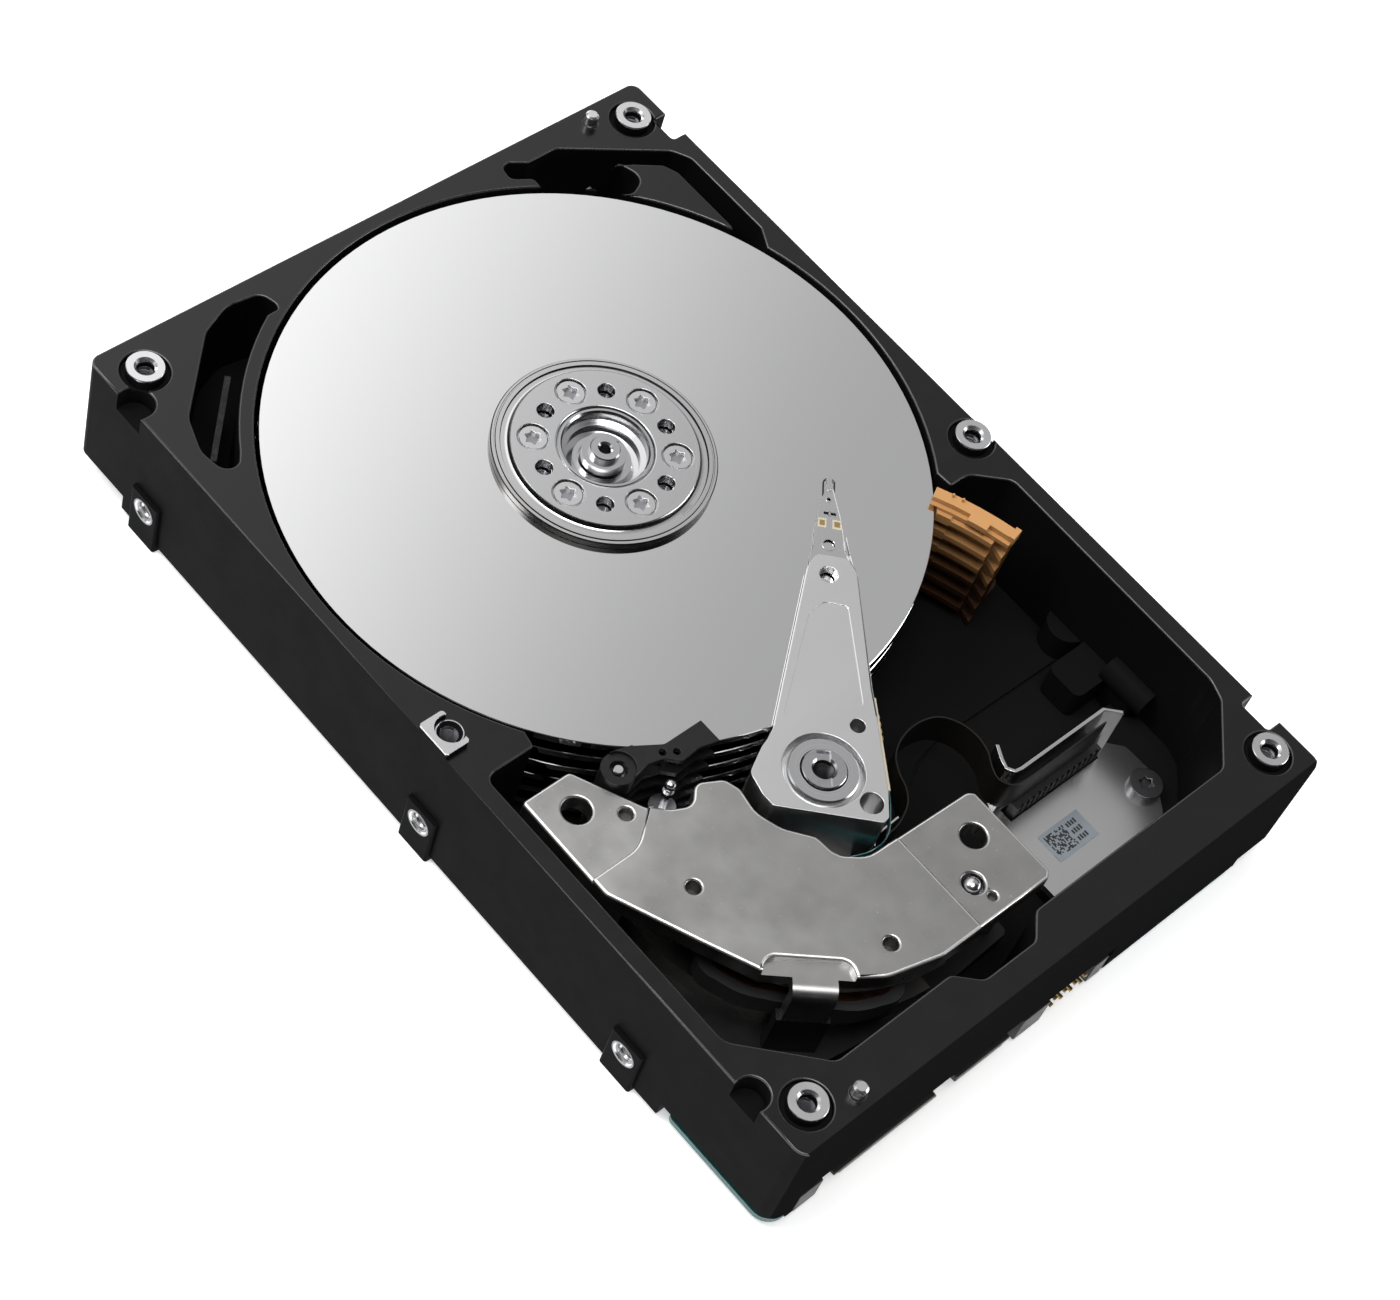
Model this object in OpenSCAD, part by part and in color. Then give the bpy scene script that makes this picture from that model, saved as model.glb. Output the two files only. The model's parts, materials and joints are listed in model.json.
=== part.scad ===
// 3.5 inch hard disk drive with its top cover off: die-cast base, six-platter spindle,
// comb actuator with voice coil, parking ramp and circuit board.
// Origin: centre of the footprint, on the lowest face. X across, -Y connector end, +Z up.

/* [Casting] */
// Width over the side pads
body_w = 101.6; // [101.2:0.1:102]
// Length, connector end to platter end
body_l = 145.5; // [145.3:0.1:146.4]
// Height of the cover face of the casting
deck_z = 23.04; // [22.9:0.02:23.3]
// How far each side pad stands out from the wall
pad_step = 0.65; // [0.4:0.05:0.9]
// Height of the chamber floor
floor_z = 3.3; // [3.1:0.05:3.35]
// Radius of the round chamber for the platters
chamber_r = 48.15; // [48:0.05:48.4]

/* [Mounting holes] */
// Radius of the 6-32 tapped holes at the thread crest
thread_r = 1.41; // [1.35:0.01:1.45]
// First side hole, from the connector end
side_hole_from_end = 28.5; // [28.3:0.1:28.7]
// First to last side hole
side_hole_span = 101.6; // [101.4:0.1:101.8]
// First to middle side hole
side_hole_mid = 41.61; // [41.5:0.01:41.7]
// Height of the side holes
side_hole_z = 6.35; // [6.3:0.05:6.5]
// Depth of a side hole
side_hole_depth = 4.6; // [3.5:0.1:4.8]
// Across the drive, between bottom holes
bottom_hole_dx = 95.25; // [95.1:0.05:95.4]
// Along the drive, between bottom holes
bottom_hole_dy = 76.2; // [76:0.1:76.4]
// First bottom hole, from the connector end
bottom_hole_from_end = 41.28; // [41.2:0.01:41.4]
// Radius of the cover-screw holes at the thread crest
cover_hole_r = 1.25; // [1.2:0.01:1.3]

/* [Platter stack] */
// Platter diameter
platter_d = 95; // [94.6:0.1:95.2]
// Platter thickness
platter_t = 1.27; // [1.1:0.01:1.27]
// Distance between neighbouring platters, top face to top face
platter_pitch = 3.2; // [3.18:0.01:3.22]
// Top face of the top platter
platter_top_z = 22.4; // [22.35:0.05:22.5]
// Spindle axis, from the platter end of the casting
spindle_from_end = 50.34; // [50.3:0.02:50.4]

/* [Actuator] */
// Pivot axis across the drive
pivot_x = -10.16; // [-10.2:0.02:-10.1]
// Pivot axis along the drive
pivot_y = -33.43; // [-33.5:0.02:-33.4]
// Direction of the arms at rest, from +X
arm_angle = 45.2; // [43:0.2:47]
// Pivot axis to the end of the lift tab
arm_reach = 49.7; // [49.5:0.05:49.8]
// Thickness of an arm
arm_t = 1.0; // [0.8:0.05:1.05]

/* [Hidden] */
$fn = 72;
eps = 0.01;
big = 200;
fit = 0.02;

// Casting
half_w = body_w / 2 - pad_step;
half_l = body_l / 2;
foot_z = 0.9;
corner_foot_z = 3.6;
board_pocket_z = 2.2;
boss_z = deck_z + 1.0;
boss_r = 2.65;
groove_r = 3.45;
groove_depth = 0.8;
boss_spots = [[-44.8, 67.1], [44.8, 67.1], [47.24, -4.98], [44.8, -67.1], [-44.8, -67.1]];
pad_hole = [-47.1, -0.7];
pad_counterbore_r = 2.15;
side_chamfer = 0.35;
dowel_spots = [[38.75, 69.85], [-38.4, -69.8]];
dowel_r = 1.0;
dowel_top_z = 25.0;
raised_floor_z = 5.2;
recess_floor_z = 9;

side_hole_ys = [for (d = [0, side_hole_mid, side_hole_span]) -half_l + side_hole_from_end + d];
bottom_hole_ys = [for (d = [0, bottom_hole_dy]) -half_l + bottom_hole_from_end + d];

// Platter stack
spindle_y = half_l - spindle_from_end;
spindle = [0, spindle_y];
platter_count = 6;
hub_r = 12.45;
platter_bore_r = 12.5;
spacer_r = 15.4;
shaft_r = 2.0;

// Actuator
pivot = [pivot_x, pivot_y];
arm_count = platter_count + 1;
gap = platter_pitch - platter_t;
top_arm_z = platter_top_z + gap / 2;
bearing_bore_r = 4.97;
beam_t = 0.08;
mount_plate_t = 0.15;
coil_mid_z = 12.75;

// Magnet yoke
yoke_bottom = [floor_z, 6.1];
yoke_top = [19.4, 22.4];
yoke_ear = [18.9, 21.9];
magnet_t = 3.3;
outer_stop = [-27.56, -22.74];
inner_stop = [-4.28, -57.05];
yoke_screw_spots = [[-40.33, -18.56], [0.89, -51.98]];
yoke_post_spots = [[-35.32, -22.66], [2.6, -58.4]];

// Circuit board
board_z = 1.0;
board_t = 1.0;
board_top_z = board_z + board_t;

// ---------------------------------------------------------------- helpers

function unit(v) = v / norm(v);

// Points of the arc that rounds corner q = [x, y, radius] between neighbours p and s
function corner_arc(p, q, s) =
    let (
        u = unit([p[0] - q[0], p[1] - q[1]]),
        v = unit([s[0] - q[0], s[1] - q[1]]),
        half = acos(u * v) / 2,
        centre = [q[0], q[1]] + unit(u + v) * q[2] / sin(half),
        t0 = [q[0], q[1]] + u * q[2] / tan(half),
        t1 = [q[0], q[1]] + v * q[2] / tan(half),
        a0 = atan2(t0[1] - centre[1], t0[0] - centre[0]),
        turn = atan2(t1[1] - centre[1], t1[0] - centre[0]) - a0,
        sweep = turn > 180 ? turn - 360 : turn < -180 ? turn + 360 : turn,
        steps = max(2, ceil(abs(sweep) / 12))
    )
    [for (i = [0:steps]) centre + q[2] * [cos(a0 + sweep * i / steps), sin(a0 + sweep * i / steps)]];

// Outline with rounded corners, from corners given as [x, y, radius]
function rounded(corners) =
    let (n = len(corners))
    [for (i = [0:n - 1])
        each (corners[i][2] == 0
            ? [[corners[i][0], corners[i][1]]]
            : corner_arc(corners[(i + n - 1) % n], corners[i], corners[(i + 1) % n]))];

function arc_points(centre, r, a0, a1, steps) =
    [for (i = [0:steps]) let (a = a0 + (a1 - a0) * i / steps) centre + r * [cos(a), sin(a)]];

// Annular sector as an outline
function sector(centre, r0, r1, a0, a1, steps) =
    concat(arc_points(centre, r1, a0, a1, steps), arc_points(centre, r0, a1, a0, steps));

module slab(points, z0, z1) {
    translate([0, 0, z0]) linear_extrude(z1 - z0) polygon(points);
}

module block(low, high) {
    translate(low) cube(high - low);
}

module disc(spot, r, z0, z1) {
    translate([spot[0], spot[1], z0]) cylinder(r = r, h = z1 - z0);
}

module cone(spot, r0, r1, z0, z1) {
    translate([spot[0], spot[1], z0]) cylinder(r1 = r0, r2 = r1, h = z1 - z0);
}

module ring(spot, r0, r1, z0, z1) {
    difference() {
        disc(spot, r1, z0, z1);
        disc(spot, r0, z0 - 1, z1 + 1);
    }
}

// Six-pointed driver recess
module torx(spot, r, z0, z1) {
    slab([for (i = [0:11]) spot + r * (i % 2 == 0 ? 1 : 0.68) * [cos(30 * i), sin(30 * i)]], z0, z1);
}

module at_spindle() translate([spindle[0], spindle[1], 0]) children();

// Actuator frame: origin on the pivot, +X along the arms
module at_pivot() translate([pivot[0], pivot[1], 0]) rotate([0, 0, arm_angle]) children();

// ---------------------------------------------------------------- casting

casting_outline = rounded([
    [-half_w, -half_l, 2.5], [half_w, -half_l, 1.5], [half_w, half_l, 1.6], [-half_w, half_l, 1.6]
]);

actuator_chamber = rounded([
    [-47.5, -8.5, 1.5], [-39.3, -8.5, 0.6], [-38, -2, 0], [38.2, -2, 0], [38.6, -9.3, 0.4], [42.2, -9.3, 3],
    [47.2, -13.8, 2], [46.8, -54.2, 4], [45.6, -57.2, 2], [37.4, -65, 2], [-0.6, -65, 1.5], [-4, -68.2, 1.5],
    [-13.6, -68.2, 2], [-16.9, -65, 1.5], [-37.5, -65, 2], [-47.4, -54.6, 3]
]);

kidney_inner_r = 50.25;
kidney_recess = concat(
    arc_points(spindle, kidney_inner_r, 119.5, 147.5, 10),
    rounded([[-43.4, 48.2, 0], [-45.8, 46.9, 1.8], [-46.6, 52.2, 4], [-44.6, 57.6, 4], [-33.6, 68.2, 4],
             [-28.6, 70.3, 4], [-23.2, 69.6, 1.9], [-22.4, 66.7, 1.2]])
);

corner_recess = rounded([
    [23.9, 61, 0], [24.2, 65.9, 1], [21.2, 67.6, 1], [21.6, 71, 1.2], [25.4, 68.7, 0.8], [30.8, 68.7, 2],
    [45.8, 59.3, 2.5], [47.5, 56.6, 2.5], [47.5, 40.9, 1], [45.2, 36.6, 0.6], [40, 40, 0]
]);

corner_island = rounded([
    [27, 60, 0], [36.6, 61.6, 0.8], [39.2, 60.2, 0.8], [42.9, 57.8, 1.5], [43.9, 55.6, 2], [43.9, 43.4, 0.5],
    [40, 38, 0], [28, 50, 0]
]);

module notch(x0, x1, y0, y1, r) {
    slab(rounded([[x0, y0, r], [x1, y0, r], [x1, y1, r], [x0, y1, r]]), 19.7, deck_z + 2);
}

module side_pads() {
    for (s = [-1, 1], y = side_hole_ys)
        slab(rounded([[s * (half_w - 2), y - 3.05, 0], [s * body_w / 2, y - 2.9, 0.4],
                      [s * body_w / 2, y + 2.9, 0.4], [s * (half_w - 2), y + 3.05, 0]]), 0, 9.2);
}

module casting_solid() {
    difference() {
        slab(casting_outline, foot_z, deck_z);
        // Round chamber for the platters and the chamber for the actuator
        disc(spindle, chamber_r, floor_z, big);
        slab(actuator_chamber, floor_z, big);
        slab(kidney_recess, recess_floor_z, big);
        difference() {
            slab(corner_recess, recess_floor_z, big);
            difference() {
                slab(corner_island, recess_floor_z - 1, deck_z);
                slab(rounded([[30, 62, 0.5], [31.2, 58.6, 0.5], [35, 55.9, 1.9], [38.6, 57.6, 2], [37.3, 61.2, 1]]),
                     recess_floor_z - 1, big);
            }
        }
        // Handling notches near the four corners
        notch(-52, -46.5, 60.8, 66.0, 2.4);
        notch(-52, -47.0, -64.3, -59.6, 2.3);
        notch(47.6, 53, 60.9, 65.4, 0.6);
        notch(47.6, 53, -64.6, -59.4, 0.6);
        // Grooves around the cover-screw bosses
        for (spot = boss_spots) disc(spot, groove_r, deck_z - groove_depth, big);
        // Chamfer along the connector end
        translate([0, -half_l, deck_z]) rotate([45, 0, 0]) cube([big, 1, 1], center = true);
    }
    for (spot = boss_spots) {
        disc(spot, boss_r, deck_z - 3, boss_z - 0.25);
        cone(spot, boss_r, boss_r - 0.2, boss_z - 0.25, boss_z);
    }
    // Square boss on the left wall
    difference() {
        slab(rounded([[-half_w, -3.6, 0.3], [-46.2, -3.6, 0.6], [-46.2, 2.1, 0.6], [-half_w, 2.1, 0.3]]),
             deck_z - 4, boss_z);
        disc(pad_hole, pad_counterbore_r, deck_z, big);
    }
    side_pads();
    // Seats inside the chamber for the tapped holes
    for (s = [-1, 1]) {
        intersection() {
            disc([s * bottom_hole_dx / 2, bottom_hole_ys[0]], 3.2, foot_z, 8);
            slab(casting_outline, 0, 10);
        }
        slab(rounded([[s * 48.5, -47.6, 0], [s * 45.0, -47.0, 0.8], [s * 45.0, -41.5, 0.8], [s * 48.5, -40.9, 0]]),
             floor_z - 1, 9.8);
    }
    // Block and rounded rib at the foot of the right wall
    slab(rounded([[39.0, -41.5, 1.2], [48.5, -41.5, 0], [48.5, -35.2, 0], [39.0, -35.2, 1.5]]), floor_z - 1, 8.6);
    translate([46.6, -40.6, 9.4]) rotate([90, 0, 0]) cylinder(r = 2.3, h = 8);
    // Raised floor under the cable bracket
    slab([[14.2, -66], [48, -66], [48, -44], [14.2, -44]], floor_z - 0.5, raised_floor_z);
    // Motor pedestal
    disc(spindle, 5.4, floor_z - 1, 9.6);
}

// Tapped, countersunk hole for a cover screw
module cover_hole(spot, top) {
    disc(spot, cover_hole_r, deck_z - 7, top + eps);
    cone(spot, cover_hole_r, cover_hole_r + 0.5, top - 0.5, top + eps);
}

module casting_cuts() {
    // Underside: raised corners, the pocket for the circuit board, chips and connector
    for (s = [-1, 1]) block([s > 0 ? 36 : -60, 62.5, -1], [s > 0 ? 60 : -36, 90, corner_foot_z]);
    difference() {
        block([-46.9, -90, -1], [46.9, -9, board_pocket_z]);
        for (s = [-1, 1]) disc([s * bottom_hole_dx / 2, bottom_hole_ys[0]], 3.2, -2, big);
    }
    block([-60, -90, -1], [-46.8, -51.8, 3.9]);
    block([42.6, -90, -1], [60, -60, 3.9]);
    block([15.5, -60, 2], [44, -45, 3.8]);
    // Groove across the chamber floor
    slab(strip([[45, -33.7], [20, -33.4], [15, -34.4], [11.4, -36.2]], 0.5), floor_z - 0.45, floor_z + 1);
    block([-45.6, -90, 2], [14.6, -66.4, 8]);
    // Tapped holes
    for (s = [-1, 1], y = side_hole_ys)
        translate([s * (body_w / 2 + 1), y, side_hole_z]) rotate([0, -s * 90, 0])
            cylinder(r = thread_r, h = side_hole_depth + 1);
    for (s = [-1, 1], y = side_hole_ys)
        translate([s * (body_w / 2 + eps), y, side_hole_z]) rotate([0, -s * 90, 0])
            cylinder(r1 = thread_r + side_chamfer, r2 = thread_r, h = side_chamfer);
    for (s = [-1, 1], y = bottom_hole_ys) disc([s * bottom_hole_dx / 2, y], thread_r, -1, foot_z + 5);
    for (spot = boss_spots) cover_hole(spot, boss_z);
    cover_hole(pad_hole, deck_z);
    // Dowel holes, motor shaft, pivot and yoke screws
    for (spot = dowel_spots) disc(spot, dowel_r, deck_z - 5, big);
    disc(spindle, shaft_r + 0.01, -1, big);
    disc(spindle, 3.4, -1, 2.1);
    for (spot = board_screw_spots) disc(spot, 1.22, 0, board_pocket_z + 0.7);
    // Ring groove round the motor, underneath
    difference() {
        disc(spindle, 14.6, -1, foot_z + 0.5);
        disc(spindle, 13.4, -2, big);
    }
}

module base_casting() {
    color([0.13, 0.13, 0.14]) difference() {
        casting_solid();
        casting_cuts();
    }
}

module cover_locating_pins() {
    color([0.8, 0.8, 0.82]) for (spot = dowel_spots) {
        disc(spot, dowel_r, deck_z - 5, dowel_top_z - 0.3);
        cone(spot, dowel_r, dowel_r - 0.3, dowel_top_z - 0.3, dowel_top_z);
    }
}

// Felt plug over the pressure port in the floor of the corner recess
module breather_filter() {
    color([0.85, 0.85, 0.83]) disc([33, 64.6], 1.9, recess_floor_z, recess_floor_z + 0.8);
}

// ---------------------------------------------------------------- spindle

module profile(points) {
    at_spindle() rotate_extrude($fn = 120) polygon(points);
}

// Fixed shaft with its thrust flange and tapped top
module spindle_shaft() {
    color([0.78, 0.78, 0.8]) difference() {
        profile([[0, 1.0], [3.3, 1.0], [3.3, 2.0], [shaft_r, 2.0], [shaft_r, 21.6], [3.2, 21.6], [3.2, 23.1],
                 [2.16, 23.1], [2.16, 23.8], [2.02, 23.95], [0, 23.95]]);
        disc(spindle, 0.8, 18, big);
        cone(spindle, 0.8, 1.1, 23.65, 23.96);
        disc(spindle + [2.7, 0.2], 0.16, 22.3, big);
    }
}

stator_teeth = 9;
stator_z = [6.2, 9.4];

module stator_core() {
    color([0.45, 0.45, 0.47]) difference() {
        union() {
            ring(spindle, 5.4, 6.9, stator_z[0], stator_z[1]);
            at_spindle() for (i = [0:stator_teeth - 1]) rotate([0, 0, i * 360 / stator_teeth]) {
                block([6.6, -0.6, stator_z[0]], [9.6, 0.6, stator_z[1]]);
                block([9.2, -1.9, stator_z[0]], [9.75, 1.9, stator_z[1]]);
            }
        }
        disc(spindle, 5.4, 0, big);
    }
}

module stator_coils() {
    color([0.72, 0.4, 0.18]) at_spindle() for (i = [0:stator_teeth - 1]) rotate([0, 0, i * 360 / stator_teeth])
        difference() {
            slab(rounded([[7.2, -1.3, 0.3], [9.1, -1.6, 0.3], [9.1, 1.6, 0.3], [7.2, 1.3, 0.3]]),
                 stator_z[0] - 0.7, stator_z[1] + 0.7);
            block([6, -0.6, stator_z[0]], [10, 0.6, stator_z[1]]);
        }
}

clamp_screw_r = 10.15;
clamp_screw_angle = 18;
tool_hole_r = 9.85;
tool_hole_angle = 48.3;

module spindle_hub() {
    color([0.75, 0.75, 0.77]) difference() {
        profile([[shaft_r + fit, 10.2], [5, 10.2], [5, 11.4], [11.7, 11.4], [11.7, 4.4], [spacer_r, 4.4],
                 [spacer_r, 5.13], [hub_r, 5.13], [hub_r, 22.2], [6.9, 22.2], [6.9, 23.9], [6.7, 24.1],
                 [6.35, 24.1], [6.1, 23.75], [6.1, 22.4], [5.3, 22.1], [5.3, 20.7], [4.2, 20.3],
                 [4.2, 21.3], [3.45, 21.3], [3.45, 20.9], [shaft_r + fit, 20.9]]);
        for (i = [0:5]) {
            disc(spindle + clamp_screw_r * [cos(clamp_screw_angle + 60 * i), sin(clamp_screw_angle + 60 * i)],
                 1.25, 16.5, big);
            disc(spindle + tool_hole_r * [cos(tool_hole_angle + 60 * i), sin(tool_hole_angle + 60 * i)],
                 1.1, 19.5, big);
        }
    }
}

module rotor_magnet() {
    color([0.3, 0.3, 0.32]) ring(spindle, 10.0, 11.65, 4.7, 11.2);
}

module platter(k) {
    top = platter_top_z - k * platter_pitch;
    color([0.86, 0.87, 0.88]) profile([
        [platter_bore_r, top - platter_t], [platter_d / 2 - 0.1, top - platter_t],
        [platter_d / 2, top - platter_t + 0.1], [platter_d / 2, top - 0.1], [platter_d / 2 - 0.1, top],
        [platter_bore_r, top]
    ]);
}

module platter_spacers() {
    color([0.7, 0.7, 0.72]) for (k = [0:platter_count - 2]) {
        top = platter_top_z - k * platter_pitch;
        ring(spindle, platter_bore_r, spacer_r, top - platter_pitch, top - platter_t);
    }
}

clamp_top_z = 24.2;

module disk_clamp() {
    color([0.8, 0.8, 0.82]) difference() {
        profile([[6.98, 22.6], [12.2, 22.6], [14.2, platter_top_z], [15.95, platter_top_z], [16.05, 22.5],
                 [16.05, 23.4], [15.9, 23.55], [15.6, 23.55], [15.55, 23.42], [15.4, 23.42], [15.3, 23.6],
                 [14.75, 23.6], [14.6, 23.3], [14.05, 23.3], [13.7, 23.5], [13.45, clamp_top_z - 0.12],
                 [13.3, clamp_top_z], [7.1, clamp_top_z], [6.98, clamp_top_z - 0.15]]);
        for (i = [0:5]) {
            spot = spindle + clamp_screw_r * [cos(clamp_screw_angle + 60 * i), sin(clamp_screw_angle + 60 * i)];
            disc(spot, 1.35, 20, big);
            disc(spot, 2.3, 23.1, big);
            disc(spindle + tool_hole_r * [cos(tool_hole_angle + 60 * i), sin(tool_hole_angle + 60 * i)],
                 1.26, 20, big);
        }
    }
}

module clamp_screws() {
    color([0.85, 0.85, 0.86]) for (i = [0:5]) {
        spot = spindle + clamp_screw_r * [cos(clamp_screw_angle + 60 * i), sin(clamp_screw_angle + 60 * i)];
        difference() {
            union() {
                disc(spot, 1.24, 17, 23.2);
                disc(spot, 2.12, 23.1, 23.85);
                cone(spot, 2.12, 1.95, 23.85, 24.05);
            }
            torx(spot, 1.28, 23.3, big);
        }
    }
}

// ---------------------------------------------------------------- pivot

module pivot_profile(points) {
    translate([pivot[0], pivot[1], 0]) rotate_extrude($fn = 96) polygon(points);
}

module pivot_shaft() {
    color([0.8, 0.8, 0.81]) difference() {
        pivot_profile([[0, floor_z], [3.4, floor_z], [3.4, 4.2], [2.0, 4.2], [2.0, 23.5], [3.1, 23.5],
                       [3.1, 24.25], [3.0, 24.35], [0, 24.35]]);
        disc(pivot, 1.5, 15, big);
        cone(pivot, 1.5, 1.8, 24.05, 24.36);
        at_pivot() rotate([0, 0, 5]) block([-2.65, -0.93, 24.0], [2.65, 0.93, 26]);
    }
}

race_z = [[5.0, 8.6], [19.4, 23.0]];

module pivot_inner_races() {
    color([0.7, 0.7, 0.72]) for (z = race_z)
        pivot_profile([[2.01, z[0]], [2.5, z[0]], [2.5, z[0] + 1.2], [2.35, z[0] + 1.8], [2.5, z[0] + 2.4],
                       [2.5, z[1]], [2.01, z[1]]]);
}

module pivot_outer_races() {
    color([0.7, 0.7, 0.72]) for (z = race_z)
        pivot_profile([[3.5, z[0]], [3.98, z[0]], [3.98, z[1]], [3.5, z[1]], [3.5, z[0] + 2.4],
                       [3.65, z[0] + 1.8], [3.5, z[0] + 1.2]]);
}

module pivot_balls() {
    color([0.85, 0.85, 0.86]) for (z = race_z, i = [0:9])
        translate([pivot[0] + 3.0 * cos(36 * i), pivot[1] + 3.0 * sin(36 * i), z[0] + 1.8])
            sphere(r = 0.55, $fn = 24);
}

module pivot_sleeve() {
    color([0.76, 0.76, 0.78])
        pivot_profile([[4.0, 4.4], [4.95, 4.4], [4.95, 23.75], [4.75, 23.95], [3.3, 23.95], [3.25, 23.85],
                       [3.25, 23.3], [4.0, 23.3]]);
}

// ---------------------------------------------------------------- actuator

block_outline = rounded([
    [-6.6, 6.6, 0.8], [-5.2, 8.0, 1.5], [-2.1, 9.85, 1.5], [2.2, 8.4, 3], [6.1, 6.3, 2], [8.4, 2.4, 2],
    [9.6, -2, 1], [10.2, -7.0, 0.6], [-1.8, -8.8, 0.8], [-5.6, -8.95, 0.4], [-6.6, -8.3, 0.4]
]);

arm_outline = rounded([
    [-2.1, 9.8, 1.5], [5.6, 6.9, 2], [33.0, 2.9, 2], [35.0, 1.7, 1], [35.0, -2.6, 1], [33.0, -3.9, 2],
    [14, -6.2, 5], [10.2, -6.9, 1], [0, -7, 0]
]);

arm_pocket = rounded([[7.3, 5.7, 0.6], [24.9, 2.56, 1.2], [27.06, 0.6, 1.2], [27.0, -2.8, 0.6], [11.2, -5.2, 0.6]]);

swage_x = 31.75;

module arm_block() {
    color([0.78, 0.78, 0.78]) at_pivot() difference() {
        union() {
            slab(block_outline, top_arm_z - (arm_count - 1) * platter_pitch - arm_t / 2, top_arm_z + arm_t / 2);
            for (k = [0:arm_count - 1]) {
                mid = top_arm_z - k * platter_pitch;
                slab(arm_outline, mid - arm_t / 2, mid + arm_t / 2);
            }
        }
        cylinder(r = bearing_bore_r, h = big);
        translate([0, 0, 22.4]) cylinder(r1 = 5.3, r2 = 5.75, h = 1.5);
        translate([swage_x, 0, 0]) cylinder(r = 1.35, h = big);
        translate([7.8, -4.5, 12]) cylinder(r = 1.1, h = big);
        translate([-3.9, -6.6, 12]) cylinder(r = 1.65, h = big);
        slab(arm_pocket, top_arm_z + arm_t / 2 - 0.12, big);
        // Lightening windows through the lower arms
        for (k = [1:arm_count - 1]) {
            mid = top_arm_z - k * platter_pitch;
            slab(rounded([[14, 2.6, 1], [25.5, 1.2, 1], [25.5, -2.0, 1], [14, -3.4, 1]]),
                 mid - arm_t / 2 - eps, mid + arm_t / 2 + eps);
        }
    }
}

// Faces of the arms that carry a suspension: [arm, side]; side -1 is the lower face
lower_heads = [for (k = [0:platter_count - 1]) [k, -1]];
upper_heads = [for (k = [1:platter_count]) [k, 1]];

function arm_face(h) = top_arm_z - h[0] * platter_pitch + h[1] * arm_t / 2;

// Slab that lies outward of an arm face, from depth d0 to d1
module face_slab(h, points, d0, d1) {
    z = arm_face(h);
    slab(points, h[1] > 0 ? z + d0 : z - d1, h[1] > 0 ? z + d1 : z - d0);
}

module suspension_plates() {
    color([0.72, 0.72, 0.73]) at_pivot() for (h = concat(lower_heads, upper_heads)) difference() {
        face_slab(h, rounded([[28.6, 3.0, 0.8], [36.4, 2.4, 0.8], [36.4, -3.0, 0.8], [28.6, -3.6, 0.8]]),
                  0, mount_plate_t);
        translate([swage_x, 0, 0]) cylinder(r = 1.1, h = big);
    }
}

beam_outline = rounded([
    [33.4, 2.3, 0.5], [40.4, 1.9, 0.4], [42.7, 1.6, 1], [47.6, 0.5, 0.5], [48.4, 0.35, 0.3], [arm_reach, 0.32, 0.25],
    [arm_reach, -0.32, 0.25], [48.4, -0.35, 0.3], [47.6, -0.6, 0.5], [42.7, -1.8, 1], [40.2, -2.2, 0.4],
    [33.4, -2.9, 0.5]
]);

module load_beams(heads) {
    color([0.82, 0.82, 0.83]) at_pivot() for (h = heads) difference() {
        face_slab(h, beam_outline, mount_plate_t, mount_plate_t + beam_t);
        translate([37.7, -0.2, 0]) cylinder(r = 0.85, h = big);
        translate([45.5, 0, 0]) cylinder(r = 0.3, h = big);
        block([42.7, -1.1, 0], [43.3, 0.7, big]);
    }
}

module head_sliders() {
    color([0.2, 0.2, 0.22]) at_pivot() for (h = concat(lower_heads, upper_heads))
        face_slab(h, [[47.1, -0.42], [48.3, -0.42], [48.3, 0.42], [47.1, 0.42]], mount_plate_t + beam_t,
                  gap / 2 - arm_t / 2 - 0.015);
}

coil_outer = rounded([
    [-14.2, 6.4, 2], [-25.6, 13.4, 2.5], [-28.3, 7.2, 8], [-28.9, 0, 14], [-28.3, -7.2, 8], [-25.6, -13.4, 2.5],
    [-14.2, -6.4, 2]
]);
coil_inner = rounded([
    [-18.6, 3.4, 0.8], [-22.9, 6.9, 1.2], [-24.3, 3.8, 3], [-24.6, 0, 5], [-24.3, -3.8, 3], [-22.9, -6.9, 1.2],
    [-18.6, -3.4, 0.8]
]);

module voice_coil() {
    color([0.72, 0.38, 0.16]) at_pivot() difference() {
        slab(coil_outer, coil_mid_z - 2, coil_mid_z + 2);
        slab(coil_inner, coil_mid_z - 3, coil_mid_z + 3);
    }
}

module coil_frame() {
    color([0.16, 0.16, 0.16]) at_pivot() difference() {
        union() {
            slab(rounded([[-12.6, 7.8, 1.5], [-26.3, 15.0, 3], [-29.6, 8, 8], [-30.1, 0, 14], [-29.6, -8, 8],
                          [-26.3, -15.0, 3], [-12.6, -7.8, 1.5]]), coil_mid_z - 1.7, coil_mid_z + 1.7);
            slab([[-6.6, 5.6], [-6.6, -6.2], [-13, -7.2], [-13, 7.2]], coil_mid_z - 1.7, coil_mid_z + 1.7);
            // Stop tangs
            slab(rounded([[-13.5, 7.5, 0], [-14.8, 13.8, 0.8], [-16.8, 14.6, 0.8], [-21.5, 12.2, 0]]),
                 coil_mid_z - 1.7, coil_mid_z + 1.7);
            slab(rounded([[-15, -8.5, 0], [-17.0, -14.4, 0.8], [-19.4, -14.9, 0.8], [-23, -13, 0]]),
                 coil_mid_z - 1.7, coil_mid_z + 1.7);
        }
        slab(coil_outer, 0, big);
    }
}

// Flex circuit stiffener on the side of the arm block, and the head amplifier on it
board_side = [[-1.5, -8.86], [10.1, -7.07]];

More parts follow.
